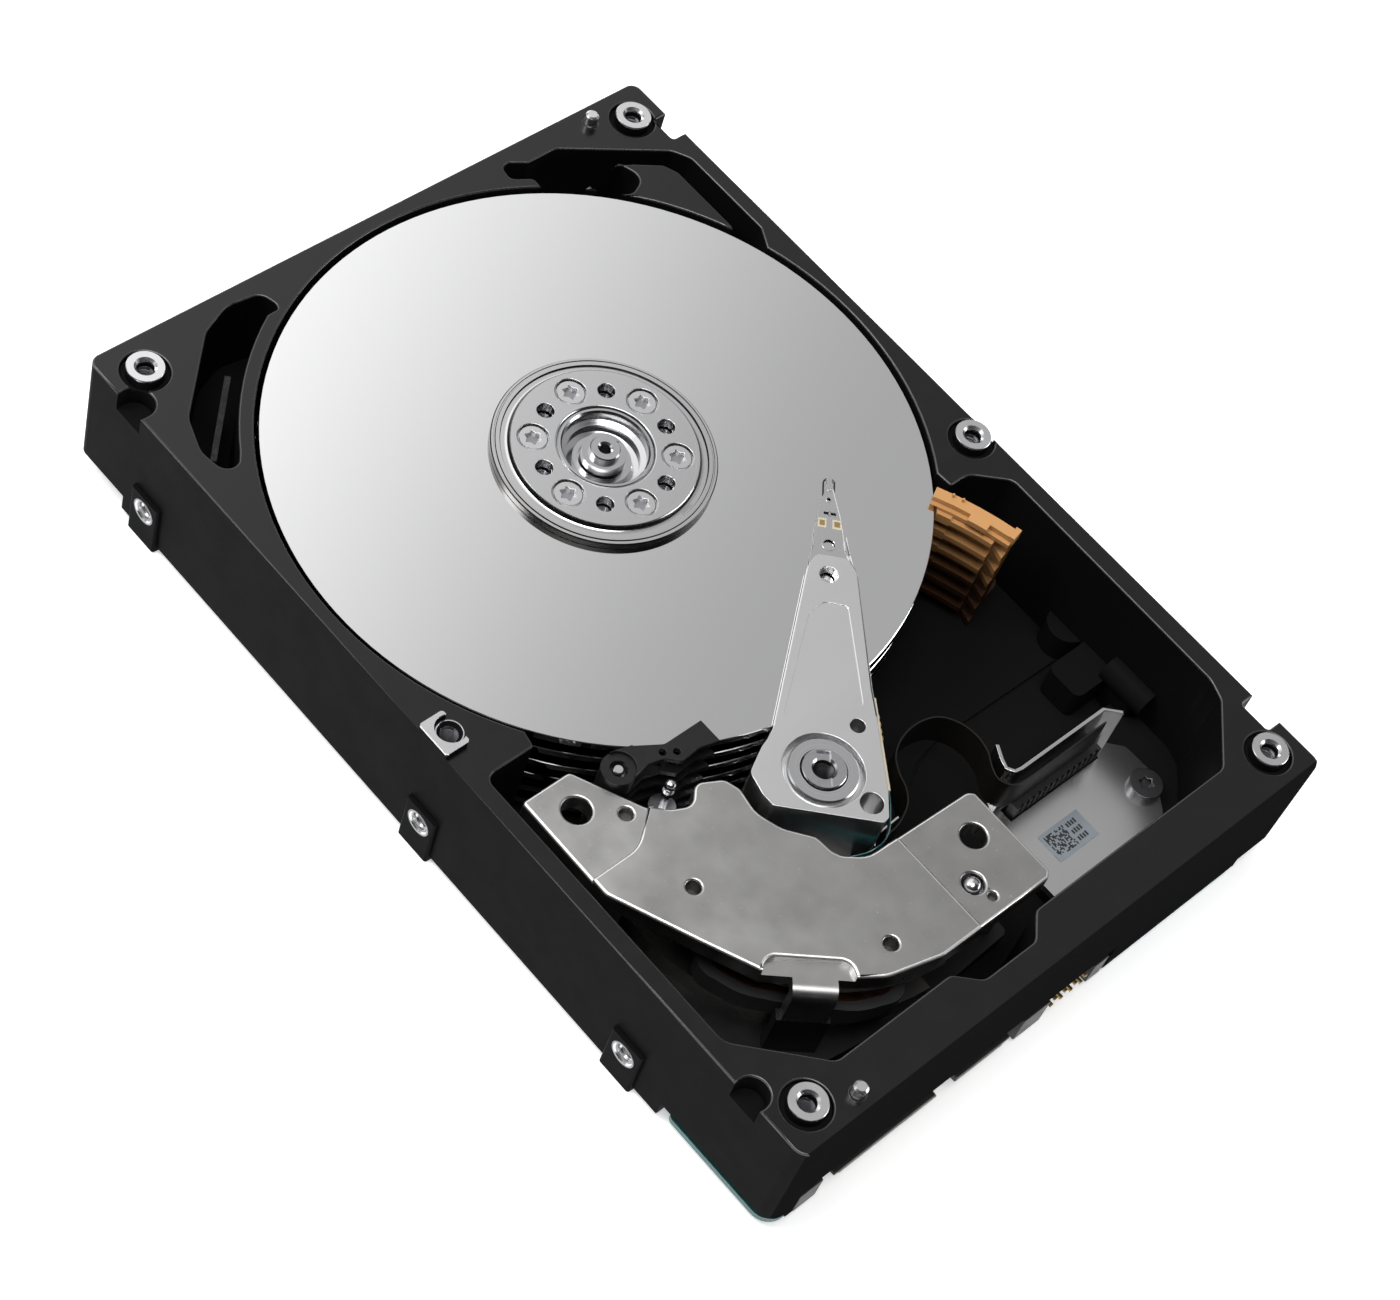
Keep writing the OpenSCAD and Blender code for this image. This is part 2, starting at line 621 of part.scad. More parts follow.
module on_board_side() {
    a = atan2(board_side[1][1] - board_side[0][1], board_side[1][0] - board_side[0][0]);
    at_pivot() translate([board_side[0][0], board_side[0][1], 0]) rotate([0, 0, a]) children();
}

module preamp_board() {
    color([0.75, 0.6, 0.3]) on_board_side() block([0.3, -0.42, 5.2], [14.7, -0.08, 23.3]);
}

module preamp_chip() {
    color([0.12, 0.12, 0.13]) on_board_side() block([3.4, -1.3, 11], [7.4, -0.42, 17]);
}

// Clip that stands the ribbon off the corner of the block
module flex_clamp() {
    color([0.8, 0.8, 0.8]) at_pivot()
        slab(strip([[-5.4, -9.1], [-4.2, -9.1], [-2.9, -10.0], [-0.3, -12.35]], 0.25), 8.8, 16.0);
}

ribbon_z = [9.5, 15.4];
ribbon_t = 0.24;
ribbon_route = [
    [-4.6, -43.3], [-2.4, -43.1], [-0.4, -42.4], [1.5, -41.3], [2.9, -39.5], [3.8, -37.2], [5.4, -34.9],
    [8.2, -33.4], [11.6, -33.0], [14.7, -33.9], [16.6, -36.3], [17.2, -39.2], [16.7, -41.9], [15.4, -44.1],
    [14.8, -46.0], [15.7, -47.7], [17.6, -48.3], [22, -48.35], [28, -48.35], [34.6, -48.35]
];

// Outline of a strip of even thickness along a route
function strip(route, t) =
    let (
        n = len(route),
        along = [for (i = [0:n - 1]) unit(route[min(i + 1, n - 1)] - route[max(i - 1, 0)])],
        left = [for (i = [0:n - 1]) route[i] + t / 2 * [-along[i][1], along[i][0]]],
        right = [for (i = [n - 1:-1:0]) route[i] - t / 2 * [-along[i][1], along[i][0]]]
    )
    concat(left, right);

module flex_cable() {
    color([0.1, 0.1, 0.1]) slab(strip(ribbon_route, ribbon_t), ribbon_z[0], ribbon_z[1]);
}

// ---------------------------------------------------------------- magnet yoke

yoke_outline = rounded([
    [-45.5, -13.6, 0.6], [-37.4, -13.6, 1.0], [-32.5, -23.4, 3], [-30.3, -25.6, 2], [-27.5, -26.9, 1.8],
    [-25.0, -24.4, 1.6], [-21.3, -26.3, 1.5], [-20.5, -28.6, 2], [-21.2, -32.5, 4], [-19.9, -36.2, 4],
    [-17.0, -39.8, 2], [-16.7, -43.4, 3], [-13.4, -45.9, 4], [5.0, -46.6, 1.5], [5.8, -47.4, 0.6],
    [5.8, -61.8, 0.8], [4.8, -62.5, 0.8], [-15.2, -62.4, 4], [-23.4, -60.3, 4], [-26.9, -58.0, 1],
    [-36.3, -50.1, 1], [-40.0, -42.4, 6], [-45.6, -30.2, 1.5]
]);
left_ear_area = rounded([[-50, -27.5, 0], [-37.6, -27.4, 5], [-32.2, -23.4, 0], [-30, -10, 0], [-50, -10, 0]]);
right_ear_x = -7.9;
right_ear_drop = 0.15;
leg_normal = 230.3;
leg_span = [-5.4, 0.6];
leg_low_z = 14.5;
shoulder_z = 21.3;

// Frame of the folded leg: +X is square to the leg's face
module at_leg() translate([pivot[0], pivot[1], 0]) rotate([0, 0, leg_normal]) children();

module yoke_top_plate() {
    color([0.62, 0.61, 0.6]) difference() {
        union() {
            // The left ear lies lower than the rest
            slab(yoke_outline, yoke_top[0], yoke_ear[1]);
            difference() {
                slab(yoke_outline, yoke_ear[1] - 1, yoke_top[1]);
                slab(left_ear_area, 0, big);
            }
            intersection() {
                slab(yoke_outline, yoke_ear[0], yoke_top[0] + 1);
                slab(left_ear_area, 0, big);
            }
            // Leg folded down from the pressed edge
            at_leg() translate([0, leg_span[1], 0]) rotate([90, 0, 0]) linear_extrude(leg_span[1] - leg_span[0])
                polygon(rounded([[28, yoke_top[0], 0], [30.5, yoke_top[0], 0.4], [30.5, leg_low_z, 0],
                                 [32.2, leg_low_z, 0.3], [32.2, shoulder_z, 1.9], [28, shoulder_z, 0]]));
        }
        // Pressed recess behind the leg
        at_leg() slab(rounded([[27.2, -8.9, 1.8], [27.2, 2.2, 1.8], [29.3, 2.8, 1], [36, 2.8, 0], [36, -9.5, 0],
                               [29.3, -9.5, 1]]), shoulder_z, big);
        block([right_ear_x, -90, yoke_top[1] - right_ear_drop], [20, -30, big]);
        disc(yoke_screw_spots[0], 2.0, 0, big);
        disc(yoke_screw_spots[1], 1.85, 0, big);
        disc([-35.32, -22.66], 0.95, 20.5, big);
        disc([-35.52, -35.95], 1.0, 19.9, big);
        disc([-19.74, -57.03], 1.0, 19.9, big);
        disc([-3.46, -59.96], 0.6, 21.2, big);
        disc(inner_stop, 1.6, 0, big);
    }
}

yoke_bottom_outline = rounded([
    [-46.2, -13.4, 0.8], [-37.4, -13.4, 1], [-32.2, -23.6, 2], [-30.2, -26, 1], [-25, -26.6, 1], [-21.8, -28.6, 1.5],
    [-21.8, -36.2, 4], [-17.6, -43.2, 4], [-13.2, -46.2, 3], [4.8, -46.8, 1], [4.8, -61.6, 1], [-16, -62.6, 4],
    [-30.4, -60.6, 1], [-38.6, -52.2, 1], [-39.6, -43, 3], [-43.4, -33, 2], [-43.4, -27.4, 2], [-46.2, -25.6, 1]
]);

module yoke_bottom_plate() {
    color([0.1, 0.1, 0.1]) difference() {
        union() {
            slab(yoke_bottom_outline, yoke_bottom[0], yoke_bottom[1]);
            // Upright that meets the folded leg
            at_leg() block([30.5, leg_span[0] - 0.6, yoke_bottom[0]], [32.2, leg_span[1] + 0.6, leg_low_z]);
        }
        for (spot = yoke_screw_spots) disc(spot, 1.3, 0, big);
        disc(inner_stop, 1.34, 0, big);
        disc(outer_stop, 2.1, 0, big);
    }
}

magnet_outline = sector(pivot, 13.8, 28.6, 172, 266, 16);

module upper_magnet() {
    color([0.5, 0.5, 0.52]) slab(magnet_outline, yoke_top[0] - magnet_t, yoke_top[0]);
}

module lower_magnet() {
    color([0.5, 0.5, 0.52]) slab(magnet_outline, yoke_bottom[1], yoke_bottom[1] + magnet_t);
}

module yoke_posts() {
    color([0.7, 0.7, 0.72]) {
        disc(yoke_post_spots[0], 1.8, yoke_bottom[1], yoke_ear[0]);
        disc(yoke_post_spots[1], 1.8, yoke_bottom[1], yoke_top[0]);
    }
}

module yoke_screws() {
    color([0.75, 0.75, 0.76]) for (spot = yoke_screw_spots) difference() {
        union() {
            disc(spot, 1.28, floor_z, yoke_bottom[1] + 0.1);
            disc(spot, 2.3, yoke_bottom[1], yoke_bottom[1] + 1.9);
        }
        torx(spot, 1.4, yoke_bottom[1] + 0.9, big);
    }
}

module outer_crash_stop() {
    color([0.8, 0.8, 0.82]) {
        disc(outer_stop, 0.6, 14, 22);
        translate([outer_stop[0], outer_stop[1], 21.7]) sphere(r = 0.85, $fn = 36);
        disc(outer_stop, 1.9, floor_z, 16.5);
        ring(outer_stop, 0.4, 0.8, 19.6, 20.4);
    }
}

module inner_crash_stop() {
    color([0.8, 0.8, 0.82]) {
        disc(inner_stop, 1.32, floor_z, 21.5);
        intersection() {
            translate([inner_stop[0], inner_stop[1], 21.3]) sphere(r = 1.34, $fn = 48);
            disc(inner_stop, 1.32, 21.4, 26);
        }
        disc(inner_stop, 1.9, yoke_bottom[1], yoke_top[0]);
    }
}

// ---------------------------------------------------------------- beside the platters

damper_spot = [-32.4, -17.45];
damper_plate = rounded([
    [-31.2, -15.2, 0], [-29.0, -15.95, 2], [-25.2, -18.24, 1.5], [-18.64, -18.24, 0.1], [-18.6, -22.1, 0.1],
    [-21.8, -21.3, 1.5], [-24.9, -21.6, 0.4], [-26.5, -20.0, 1], [-30.5, -18.9, 0]
]);

module disk_damper() {
    color([0.15, 0.15, 0.16]) difference() {
        union() {
            disc(damper_spot, 2.45, floor_z, 23.2);
            for (k = [0:platter_count - 1]) {
                mid = top_arm_z - k * platter_pitch;
                slab(damper_plate, mid - 0.4, mid + 0.4);
                // Neck that ties the plate to the column
                slab([[-32.0, -15.05], [-28.8, -15.9], [-28.8, -19.3], [-31.6, -19.75]], mid - 0.4, mid + 0.4);
            }
        }
        disc(damper_spot, 1.0, 0, big);
        disc(damper_spot, 1.25, 22.0, big);
        disc(damper_spot, 2.3, 23.2, big);
        disc([-26.23, -19.06], 0.5, 20, big);
        disc([-24.56, -20.05], 0.5, 20, big);
    }
}

module damper_screw() {
    color([0.85, 0.85, 0.86]) {
        disc(damper_spot, 0.98, floor_z + 1, 21.6);
        disc(damper_spot, 0.75, 21.6, 22.95);
        cone(damper_spot, 0.75, 0.6, 22.95, 23.1);
    }
}

ramp_angles = [13.8, 28.2];
ramp_wall_r = [50.5, 52.4];
ramp_tongue_r = 49.1;
ramp_screw_spot = [43.4, -16.2];

// Piece of the ramp between two radii and two directions from the pivot
module ramp_part(r0, r1, a0, a1, z0, z1) {
    slab(sector(pivot, r0, r1, a0, a1, 4), z0, z1);
}

module parking_ramp() {
    color([0.82, 0.62, 0.38]) difference() {
        union() {
            // Back wall, the ledge and pad along its top, and the post at its end
            ramp_part(ramp_wall_r[0], ramp_wall_r[1], ramp_angles[0], ramp_angles[1], floor_z, 24.0);
            ramp_part(49.8, 50.6, ramp_angles[0], ramp_angles[1], 22.4, 23.1);
            ramp_part(49.3, 50.6, 18.0, 21.6, 23.05, 24.0);
            ramp_part(50.4, 52.6, 13.5, 14.5, 22.4, 24.3);
            for (k = [0:platter_count - 1]) {
                mid = platter_top_z - platter_t / 2 - k * platter_pitch;
                // Tongue level with the platter: thick where the tabs climb, thin where they rest
                ramp_part(ramp_tongue_r, 50.6, 24, ramp_angles[1], mid - 0.8, mid + 0.8);
                ramp_part(ramp_tongue_r, 50.6, 16.2, 24.1, mid - 0.45, mid + 0.45);
                // Tooth at the end of the wall
                slab([for (q = [[50.6, 13.8], [50.6, 16.4], [49.2, 13.8]])
                          pivot + q[0] * [cos(q[1]), sin(q[1])]], mid - 2.1, mid - 1.1);
            }
            for (a = [25.35, 23.66]) disc(pivot + 51.9 * [cos(a), sin(a)], 0.2, 23.9, 24.6);
            // Foot
            slab(rounded([[39.5, -21.0, 1], [45.9, -19.6, 2], [44.9, -12.6, 2], [38.2, -11.2, 1]]), floor_z, 6.2);
        }
        disc(spindle, platter_d / 2 + 0.35, 0, 23.0);
        disc(ramp_screw_spot, 1.1, 0, big);
    }
}

module ramp_screw() {
    color([0.7, 0.7, 0.72]) difference() {
        union() {
            disc(ramp_screw_spot, 1.08, floor_z, 6.3);
            disc(ramp_screw_spot, 1.9, 6.2, 7.6);
        }
        torx(ramp_screw_spot, 0.9, 6.9, big);
    }
}

module recirculation_filter() {
    color([0.6, 0.6, 0.58]) slab([[-44.6, 51.2], [-34.2, 61.6], [-34.8, 62.2], [-45.2, 51.8]],
                                 recess_floor_z, 20.5);
}

// ---------------------------------------------------------------- cable bracket

bracket_z = [raised_floor_z, raised_floor_z + 0.8];
bracket_wall_z = 16.3;
bracket_screw_spot = [38.3, -56.9];

module cable_bracket() {
    color([0.66, 0.66, 0.65]) difference() {
        union() {
            slab(rounded([[14.4, -46.4, 0.3], [37.0, -46.4, 0.5], [41.0, -50.6, 1], [41.2, -56.6, 2], [37.6, -61.4, 2],
                          [32.6, -64.6, 0.5], [14.4, -64.6, 0.5]]), bracket_z[0], bracket_z[1]);
            slab(strip([[18.0, -42.2], [16.9, -44.2], [16.4, -45.6], [17.1, -46.7], [18.2, -46.9], [35.2, -46.9],
                        [37.2, -48.9]], 0.55), bracket_z[1], bracket_wall_z);
        }
        block([17.8, -49.6, 0], [36.2, -47.35, bracket_z[1] + eps]);
        disc(bracket_screw_spot, 1.3, 0, big);
    }
}

// Plain adhesive label
module bracket_label() {
    color([0.75, 0.77, 0.8]) block([19.1, -58.4, bracket_z[1]], [27.1, -53.6, bracket_z[1] + 0.08]);
}

module bracket_screw() {
    color([0.35, 0.35, 0.36]) difference() {
        union() {
            disc(bracket_screw_spot, 1.25, raised_floor_z, bracket_z[1] + 0.1);
            disc(bracket_screw_spot, 2.55, bracket_z[1], bracket_z[1] + 1.1);
        }
        torx(bracket_screw_spot, 1.1, bracket_z[1] + 0.4, big);
    }
}

module cable_connector() {
    color([0.2, 0.13, 0.09]) difference() {
        block([18.2, -49.4, raised_floor_z], [35.8, -47.9, 8.6]);
        for (x = [19:1.2:35]) block([x, -50, 6.6], [x + 0.6, -49.1, 9]);
    }
}

// ---------------------------------------------------------------- electronics

board_outline = rounded([
    [-49.55, -72.4, 3], [-46, -72.4, 0.2], [-46, -67.0, 0.3], [15, -67.0, 0.3], [15, -72.6, 0.3], [42.2, -72.6, 0.8],
    [42.2, -62, 1], [46.2, -57.5, 1], [46.2, -34.6, 1], [44.0, -34.6, 0], [43.8, -28.6, 0], [46.2, -28.2, 1],
    [46.2, -10.2, 2], [-20, -10.2, 2], [-30, -22, 2], [-43.6, -28.2, 1], [-43.8, -34.8, 1], [-46.4, -35.4, 1],
    [-46.6, -51.9, 0.5], [-49.55, -53.4, 1]
]);
board_screw_spots = [[-40, -58], [30, -64], [-24, -31], [40, -15], [-6, -14]];

module circuit_board() {
    color([0.05, 0.28, 0.3]) difference() {
        slab(board_outline, board_z, board_top_z);
        for (spot = board_screw_spots) disc(spot, 1.35, 0, 3);
    }
}

module board_screws() {
    color([0.6, 0.6, 0.62]) for (spot = board_screw_spots) difference() {
        union() {
            disc(spot, 1.2, board_z - 0.1, board_pocket_z + 0.6);
            disc(spot, 2.4, board_z - 0.75, board_z);
        }
        torx(spot, 1.0, 0, board_z - 0.2);
    }
}

module controller_chip() {
    color([0.08, 0.08, 0.09]) block([24, -58, board_top_z], [34, -48, 3.4]);
}

module memory_chip() {
    color([0.08, 0.08, 0.09]) block([35, -58, board_top_z], [43, -48, 3.3]);
}

module motor_driver_chip() {
    color([0.08, 0.08, 0.09]) block([17, -58, board_top_z], [23, -51, 3.2]);
}

module board_insulator() {
    color([0.2, 0.2, 0.22]) difference() {
        slab([[-40, -54], [12, -54], [12, -16], [-16, -16], [-26, -27], [-40, -36]],
             board_top_z, board_top_z + 0.2);
        for (spot = board_screw_spots) disc(spot, 1.6, 0, big);
    }
}

module sata_connector() {
    color([0.09, 0.09, 0.1]) difference() {
        union() {
            block([-45.2, -71.4, board_top_z], [14.2, -67.2, 7.4]);
            block([-45.2, -73.0 + 0.3, 1.4], [-41.0, -71.3, 6.0]);
            block([-3.0, -73.0 + 0.3, 0.6], [2.3, -71.3, 6.0]);
            block([11.3, -73.0 + 0.3, 1.4], [14.2, -71.3, 6.0]);
            block([-38.5, -72.75, 3.1], [-19.6, -71.3, 4.5]);
            block([-15.6, -72.75, 3.1], [-5.2, -71.3, 4.5]);
        }
        // Keys of the two tongues
        block([-38.6, -73, 2.5], [-37.3, -71.35, 3.7]);
        block([-6.4, -73, 2.5], [-5.1, -71.35, 3.7]);
    }
}

module sata_contacts() {
    color([0.8, 0.66, 0.3]) {
        for (i = [0:14]) block([-37.0 + 1.27 * i - 0.3, -72.7, 2.98], [-37.0 + 1.27 * i + 0.3, -71.4, 3.1]);
        for (i = [0:6]) block([-14.6 + 1.27 * i - 0.3, -72.7, 2.98], [-14.6 + 1.27 * i + 0.3, -71.4, 3.1]);
    }
}

module jumper_pins() {
    color([0.75, 0.65, 0.35]) for (i = [0:3], z = [3.0, 5.0])
        block([3.8 + 2 * i - 0.25, -72.7, z - 0.25], [3.8 + 2 * i + 0.25, -71.4, z + 0.25]);
}

base_casting();
cover_locating_pins();
breather_filter();
spindle_shaft();
stator_core();
stator_coils();
spindle_hub();
rotor_magnet();
platter(0);  // platter_1
platter(1);  // platter_2
platter(2);  // platter_3
platter(3);  // platter_4
platter(4);  // platter_5
platter(5);  // platter_6
platter_spacers();
disk_clamp();
clamp_screws();
pivot_shaft();
pivot_inner_races();
pivot_balls();
pivot_outer_races();
pivot_sleeve();
arm_block();
suspension_plates();
load_beams(lower_heads);  // lower_load_beams
load_beams(upper_heads);  // upper_load_beams
head_sliders();
coil_frame();
voice_coil();
preamp_board();
preamp_chip();
flex_clamp();
flex_cable();
yoke_top_plate();
yoke_bottom_plate();
upper_magnet();
lower_magnet();
yoke_posts();
yoke_screws();
outer_crash_stop();
inner_crash_stop();
disk_damper();
damper_screw();
parking_ramp();
ramp_screw();
cable_bracket();
bracket_label();
bracket_screw();
cable_connector();
recirculation_filter();
circuit_board();
board_screws();
controller_chip();
memory_chip();
motor_driver_chip();
board_insulator();
sata_connector();
sata_contacts();
jumper_pins();
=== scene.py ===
"""Looks of the open hard disk drive: finishes, fine detail, studio and camera."""

import json
import math

import bmesh
import bpy
from mathutils import Matrix, Vector

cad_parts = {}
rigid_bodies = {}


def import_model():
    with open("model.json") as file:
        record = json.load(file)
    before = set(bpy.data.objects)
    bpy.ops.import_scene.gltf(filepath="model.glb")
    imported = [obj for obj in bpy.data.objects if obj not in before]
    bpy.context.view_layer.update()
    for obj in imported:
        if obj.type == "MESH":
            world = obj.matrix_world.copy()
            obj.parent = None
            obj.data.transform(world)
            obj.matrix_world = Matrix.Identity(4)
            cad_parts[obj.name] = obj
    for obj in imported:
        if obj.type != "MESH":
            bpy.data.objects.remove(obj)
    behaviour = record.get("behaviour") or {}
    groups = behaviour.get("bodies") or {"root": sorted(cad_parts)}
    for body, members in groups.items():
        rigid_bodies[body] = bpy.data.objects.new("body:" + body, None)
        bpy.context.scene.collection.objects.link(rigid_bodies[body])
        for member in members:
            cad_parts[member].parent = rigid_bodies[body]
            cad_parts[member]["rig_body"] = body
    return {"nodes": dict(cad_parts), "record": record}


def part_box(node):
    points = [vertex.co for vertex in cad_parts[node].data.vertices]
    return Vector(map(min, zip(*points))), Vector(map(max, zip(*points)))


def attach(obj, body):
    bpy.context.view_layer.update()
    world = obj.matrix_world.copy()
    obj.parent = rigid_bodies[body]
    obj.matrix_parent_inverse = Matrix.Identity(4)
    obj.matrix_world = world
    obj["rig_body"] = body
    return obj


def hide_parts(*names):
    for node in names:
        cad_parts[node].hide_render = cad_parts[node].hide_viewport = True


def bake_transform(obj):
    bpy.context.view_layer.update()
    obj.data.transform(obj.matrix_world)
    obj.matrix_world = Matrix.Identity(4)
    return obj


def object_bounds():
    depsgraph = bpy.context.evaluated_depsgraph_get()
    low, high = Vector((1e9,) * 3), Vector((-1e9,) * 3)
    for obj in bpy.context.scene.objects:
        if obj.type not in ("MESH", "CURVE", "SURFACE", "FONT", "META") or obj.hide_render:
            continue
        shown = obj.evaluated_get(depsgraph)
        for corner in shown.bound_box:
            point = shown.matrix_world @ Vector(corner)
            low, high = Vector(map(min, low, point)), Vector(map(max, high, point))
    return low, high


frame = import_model()
nodes = frame["nodes"]
cad_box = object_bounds()
scene = bpy.context.scene
MM = 0.001

SLOT_OF = {part["node"]: part["material_slot"] for part in frame["record"]["subparts"]}


# ------------------------------------------------------------------ places, in millimetres

def centre_of(node):
    low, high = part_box(node)
    return (low + high) / 2 / MM


def top_of(node):
    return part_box(node)[1].z / MM


def bottom_of(node):
    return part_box(node)[0].z / MM


spindle = centre_of("platter_1")
pivot = centre_of("pivot_sleeve")
ARM_HEADING = math.radians(45.2)
arm_place = Matrix.Translation((pivot.x, pivot.y, 0)) @ Matrix.Rotation(ARM_HEADING, 4, "Z")

DECK_Z = 23.04
BOSS_Z = DECK_Z + 1.0
HALF_WIDTH = 50.8
COVER_BOSSES = [(-44.8, 67.1), (44.8, 67.1), (47.24, -4.98), (44.8, -67.1), (-44.8, -67.1)]
SQUARE_BOSS_HOLE = (-47.1, -0.7)
SIDE_HOLE_YS = [-44.25, -2.64, 57.35]
SIDE_HOLE_Z = 6.35
BOTTOM_HOLES = [(s * 47.625, y) for s in (-1, 1) for y in (-31.47, 44.73)]
PLATTER_PITCH = 3.2
ARM_T = 1.0
TOP_ARM_Z = top_of("platter_1") + 0.965
ARM_COUNT = 7
BOARD_UNDER_Z = 1.0
PLUG_PITCH = 1.27
PLUG_ROW_Y = -69.0
CLAMP_PLATEAU_RADIUS = 13.2
CLAMP_SCREW_RADIUS = 10.15
CLAMP_SCREW_START = 18
CLAMP_SCREW_COUNT = 6
STAR_FLOOR_Z = (23.28, 23.5)
YOKE_LOW_Z = 21.6
YOKE_FACE_Z = 22.4
YOKE_BLIND_HOLES = [(-35.32, -22.66), (-35.52, -35.95), (-19.74, -57.03), (-3.46, -59.96)]
YOKE_THROUGH_HOLES = [(-40.33, -18.56), (0.89, -51.98), (-4.28, -57.05)]
# Radius, depth and pitch of each thread
COVER_THREAD = (1.25, 0.16, 0.5)
MOUNT_THREAD = (1.41, 0.2, 0.794)
PIVOT_THREAD = (1.5, 0.18, 0.5)


# ------------------------------------------------------------------ finishes

class Finish:
    """A material under construction: a Principled shader and the noise that feeds it."""

    def __init__(self, name, colour, roughness, metallic=0.0, coat=0.0, coat_roughness=0.1, specular=0.5):
        self.material = bpy.data.materials.new(name)
        self.material.use_nodes = True
        self.tree = self.material.node_tree
        self.shader = self.tree.nodes["Principled BSDF"]
        self.colour = colour
        self.roughness = roughness
        values = {
            "Base Color": (*colour, 1),
            "Roughness": roughness,
            "Metallic": metallic,
            "Coat Weight": coat,
            "Coat Roughness": coat_roughness,
            "Specular IOR Level": specular,
        }
        for key, value in values.items():
            self.shader.inputs[key].default_value = value
        self.place = self.add("ShaderNodeTexCoord").outputs["Object"]
        self.colour_link = None

    def add(self, kind, **settings):
        node = self.tree.nodes.new(kind)
        for key, value in settings.items():
            setattr(node, key, value)
        return node

    def link(self, out, into):
        self.tree.links.new(out, into)

    def noise(self, per_mm, detail=4.0, stretch=(1, 1, 1), turn=0.0):
        """Noise with about per_mm features a millimetre, squeezed along each axis after a turn about Z."""
        mapping = self.add("ShaderNodeMapping")
        mapping.inputs["Rotation"].default_value = (0, 0, turn)
        mapping.inputs["Scale"].default_value = [per_mm / MM * s for s in stretch]
        self.link(self.place, mapping.inputs["Vector"])
        texture = self.add("ShaderNodeTexNoise")
        texture.inputs["Scale"].default_value = 1.0
        texture.inputs["Detail"].default_value = detail
        self.link(mapping.outputs["Vector"], texture.inputs["Vector"])
        return texture.outputs["Fac"]

    def remap(self, value, low, high, from_low=0.3, from_high=0.7):
        scaled = self.add("ShaderNodeMapRange")
        ranges = {"From Min": from_low, "From Max": from_high, "To Min": low, "To Max": high}
        for key, number in ranges.items():
            scaled.inputs[key].default_value = number
        self.link(value, scaled.inputs["Value"])
        return scaled.outputs["Result"]

    def rough(self, value, spread):
        """Roughness that wanders by spread about its middle value."""
        low, high = self.roughness - spread, self.roughness + spread
        self.link(self.remap(value, low, high), self.shader.inputs["Roughness"])
        return self

    def tint(self, value, other, low=0.0, high=1.0, from_low=0.3, from_high=0.7):
        """Colour that moves towards another colour where value is high."""
        mix = self.add("ShaderNodeMix", data_type="RGBA")
        self.link(self.remap(value, low, high, from_low, from_high), mix.inputs["Factor"])
        if self.colour_link is None:
            mix.inputs[6].default_value = (*self.colour, 1)
        else:
            self.link(self.colour_link, mix.inputs[6])
        mix.inputs[7].default_value = (*other, 1)
        self.colour_link = mix.outputs[2]
        self.link(self.colour_link, self.shader.inputs["Base Color"])
        return self

    def relief(self, value, depth_mm, strength=1.0):
        """Surface relief of the given depth."""
        bump = self.add("ShaderNodeBump")
        bump.inputs["Distance"].default_value = depth_mm * MM
        bump.inputs["Strength"].default_value = strength
        self.link(value, bump.inputs["Height"])
        if self.shader.inputs["Normal"].is_linked:
            self.link(self.shader.inputs["Normal"].links[0].from_socket, bump.inputs["Normal"])
        self.link(bump.outputs["Normal"], self.shader.inputs["Normal"])
        return self

    def rings(self, axis, per_mm):
        """Bands round an upright axis, as a lathe leaves them."""
        mapping = self.add("ShaderNodeMapping")
        mapping.inputs["Location"].default_value = (-axis.x * MM, -axis.y * MM, 0)
        self.link(self.place, mapping.inputs["Vector"])
        flat = self.add("ShaderNodeVectorMath", operation="MULTIPLY")
        flat.inputs[1].default_value = (1, 1, 0)
        self.link(mapping.outputs["Vector"], flat.inputs[0])
        length = self.add("ShaderNodeVectorMath", operation="LENGTH")
        self.link(flat.outputs["Vector"], length.inputs[0])
        scaled = self.add("ShaderNodeMath", operation="MULTIPLY")
        scaled.inputs[1].default_value = per_mm / MM
        self.link(length.outputs["Value"], scaled.inputs[0])
        texture = self.add("ShaderNodeTexNoise", noise_dimensions="1D")
        texture.inputs["Scale"].default_value = 1.0
        texture.inputs["Detail"].default_value = 5.0
        self.link(scaled.outputs["Value"], texture.inputs["W"])
        return texture.outputs["Fac"]


def black_coat():
    f = Finish("black_coat", (0.0075, 0.0075, 0.0078), 0.4, specular=0.01)
    f.rough(f.noise(0.25), 0.05)
    f.relief(f.noise(3.0, 3), 0.005, 0.4)
    return f


def black_deck():
    """The same coat on the cover face, which is smoother."""
    f = Finish("black_deck", (0.0035, 0.0035, 0.0038), 0.22, specular=0.5)
    f.rough(f.noise(0.25), 0.04)
    f.relief(f.noise(2.0, 3), 0.004, 0.25)
    return f


def black_wall():
    """The same coat on the outer wall under the connector end, which has no sheen."""
    f = Finish("black_wall", (0.010, 0.010, 0.0104), 0.7, specular=0.0)
    f.relief(f.noise(3.0, 3), 0.005, 0.4)
    return f


def black_edge_painted_highlight():
    """The same coat on the rounded edges, made brighter and glossier: a painted highlight along the edges."""
    f = Finish("black_edge_painted_highlight", (0.02, 0.02, 0.021), 0.3, specular=1.0)
    f.rough(f.noise(1.0), 0.08)
    f.relief(f.noise(2.0, 3), 0.01, 0.4)
    return f


def machined(name, colour, roughness=0.28):
    f = Finish(name, colour, roughness, metallic=1.0)
    f.rough(f.noise(0.3, 2), 0.02)
    return f


def turned(name, axis, colour, roughness):
    f = Finish(name, colour, roughness, metallic=1.0)
    bands = f.rings(axis, 4.0)
    f.rough(bands, 0.04)
    f.relief(bands, 0.001, 0.2)
    return f


def platter_mirror():
    f = Finish("platter_mirror", (0.93, 0.93, 0.935), 0.035, metallic=1.0)
    f.rough(f.noise(0.08, 3), 0.012)
    return f


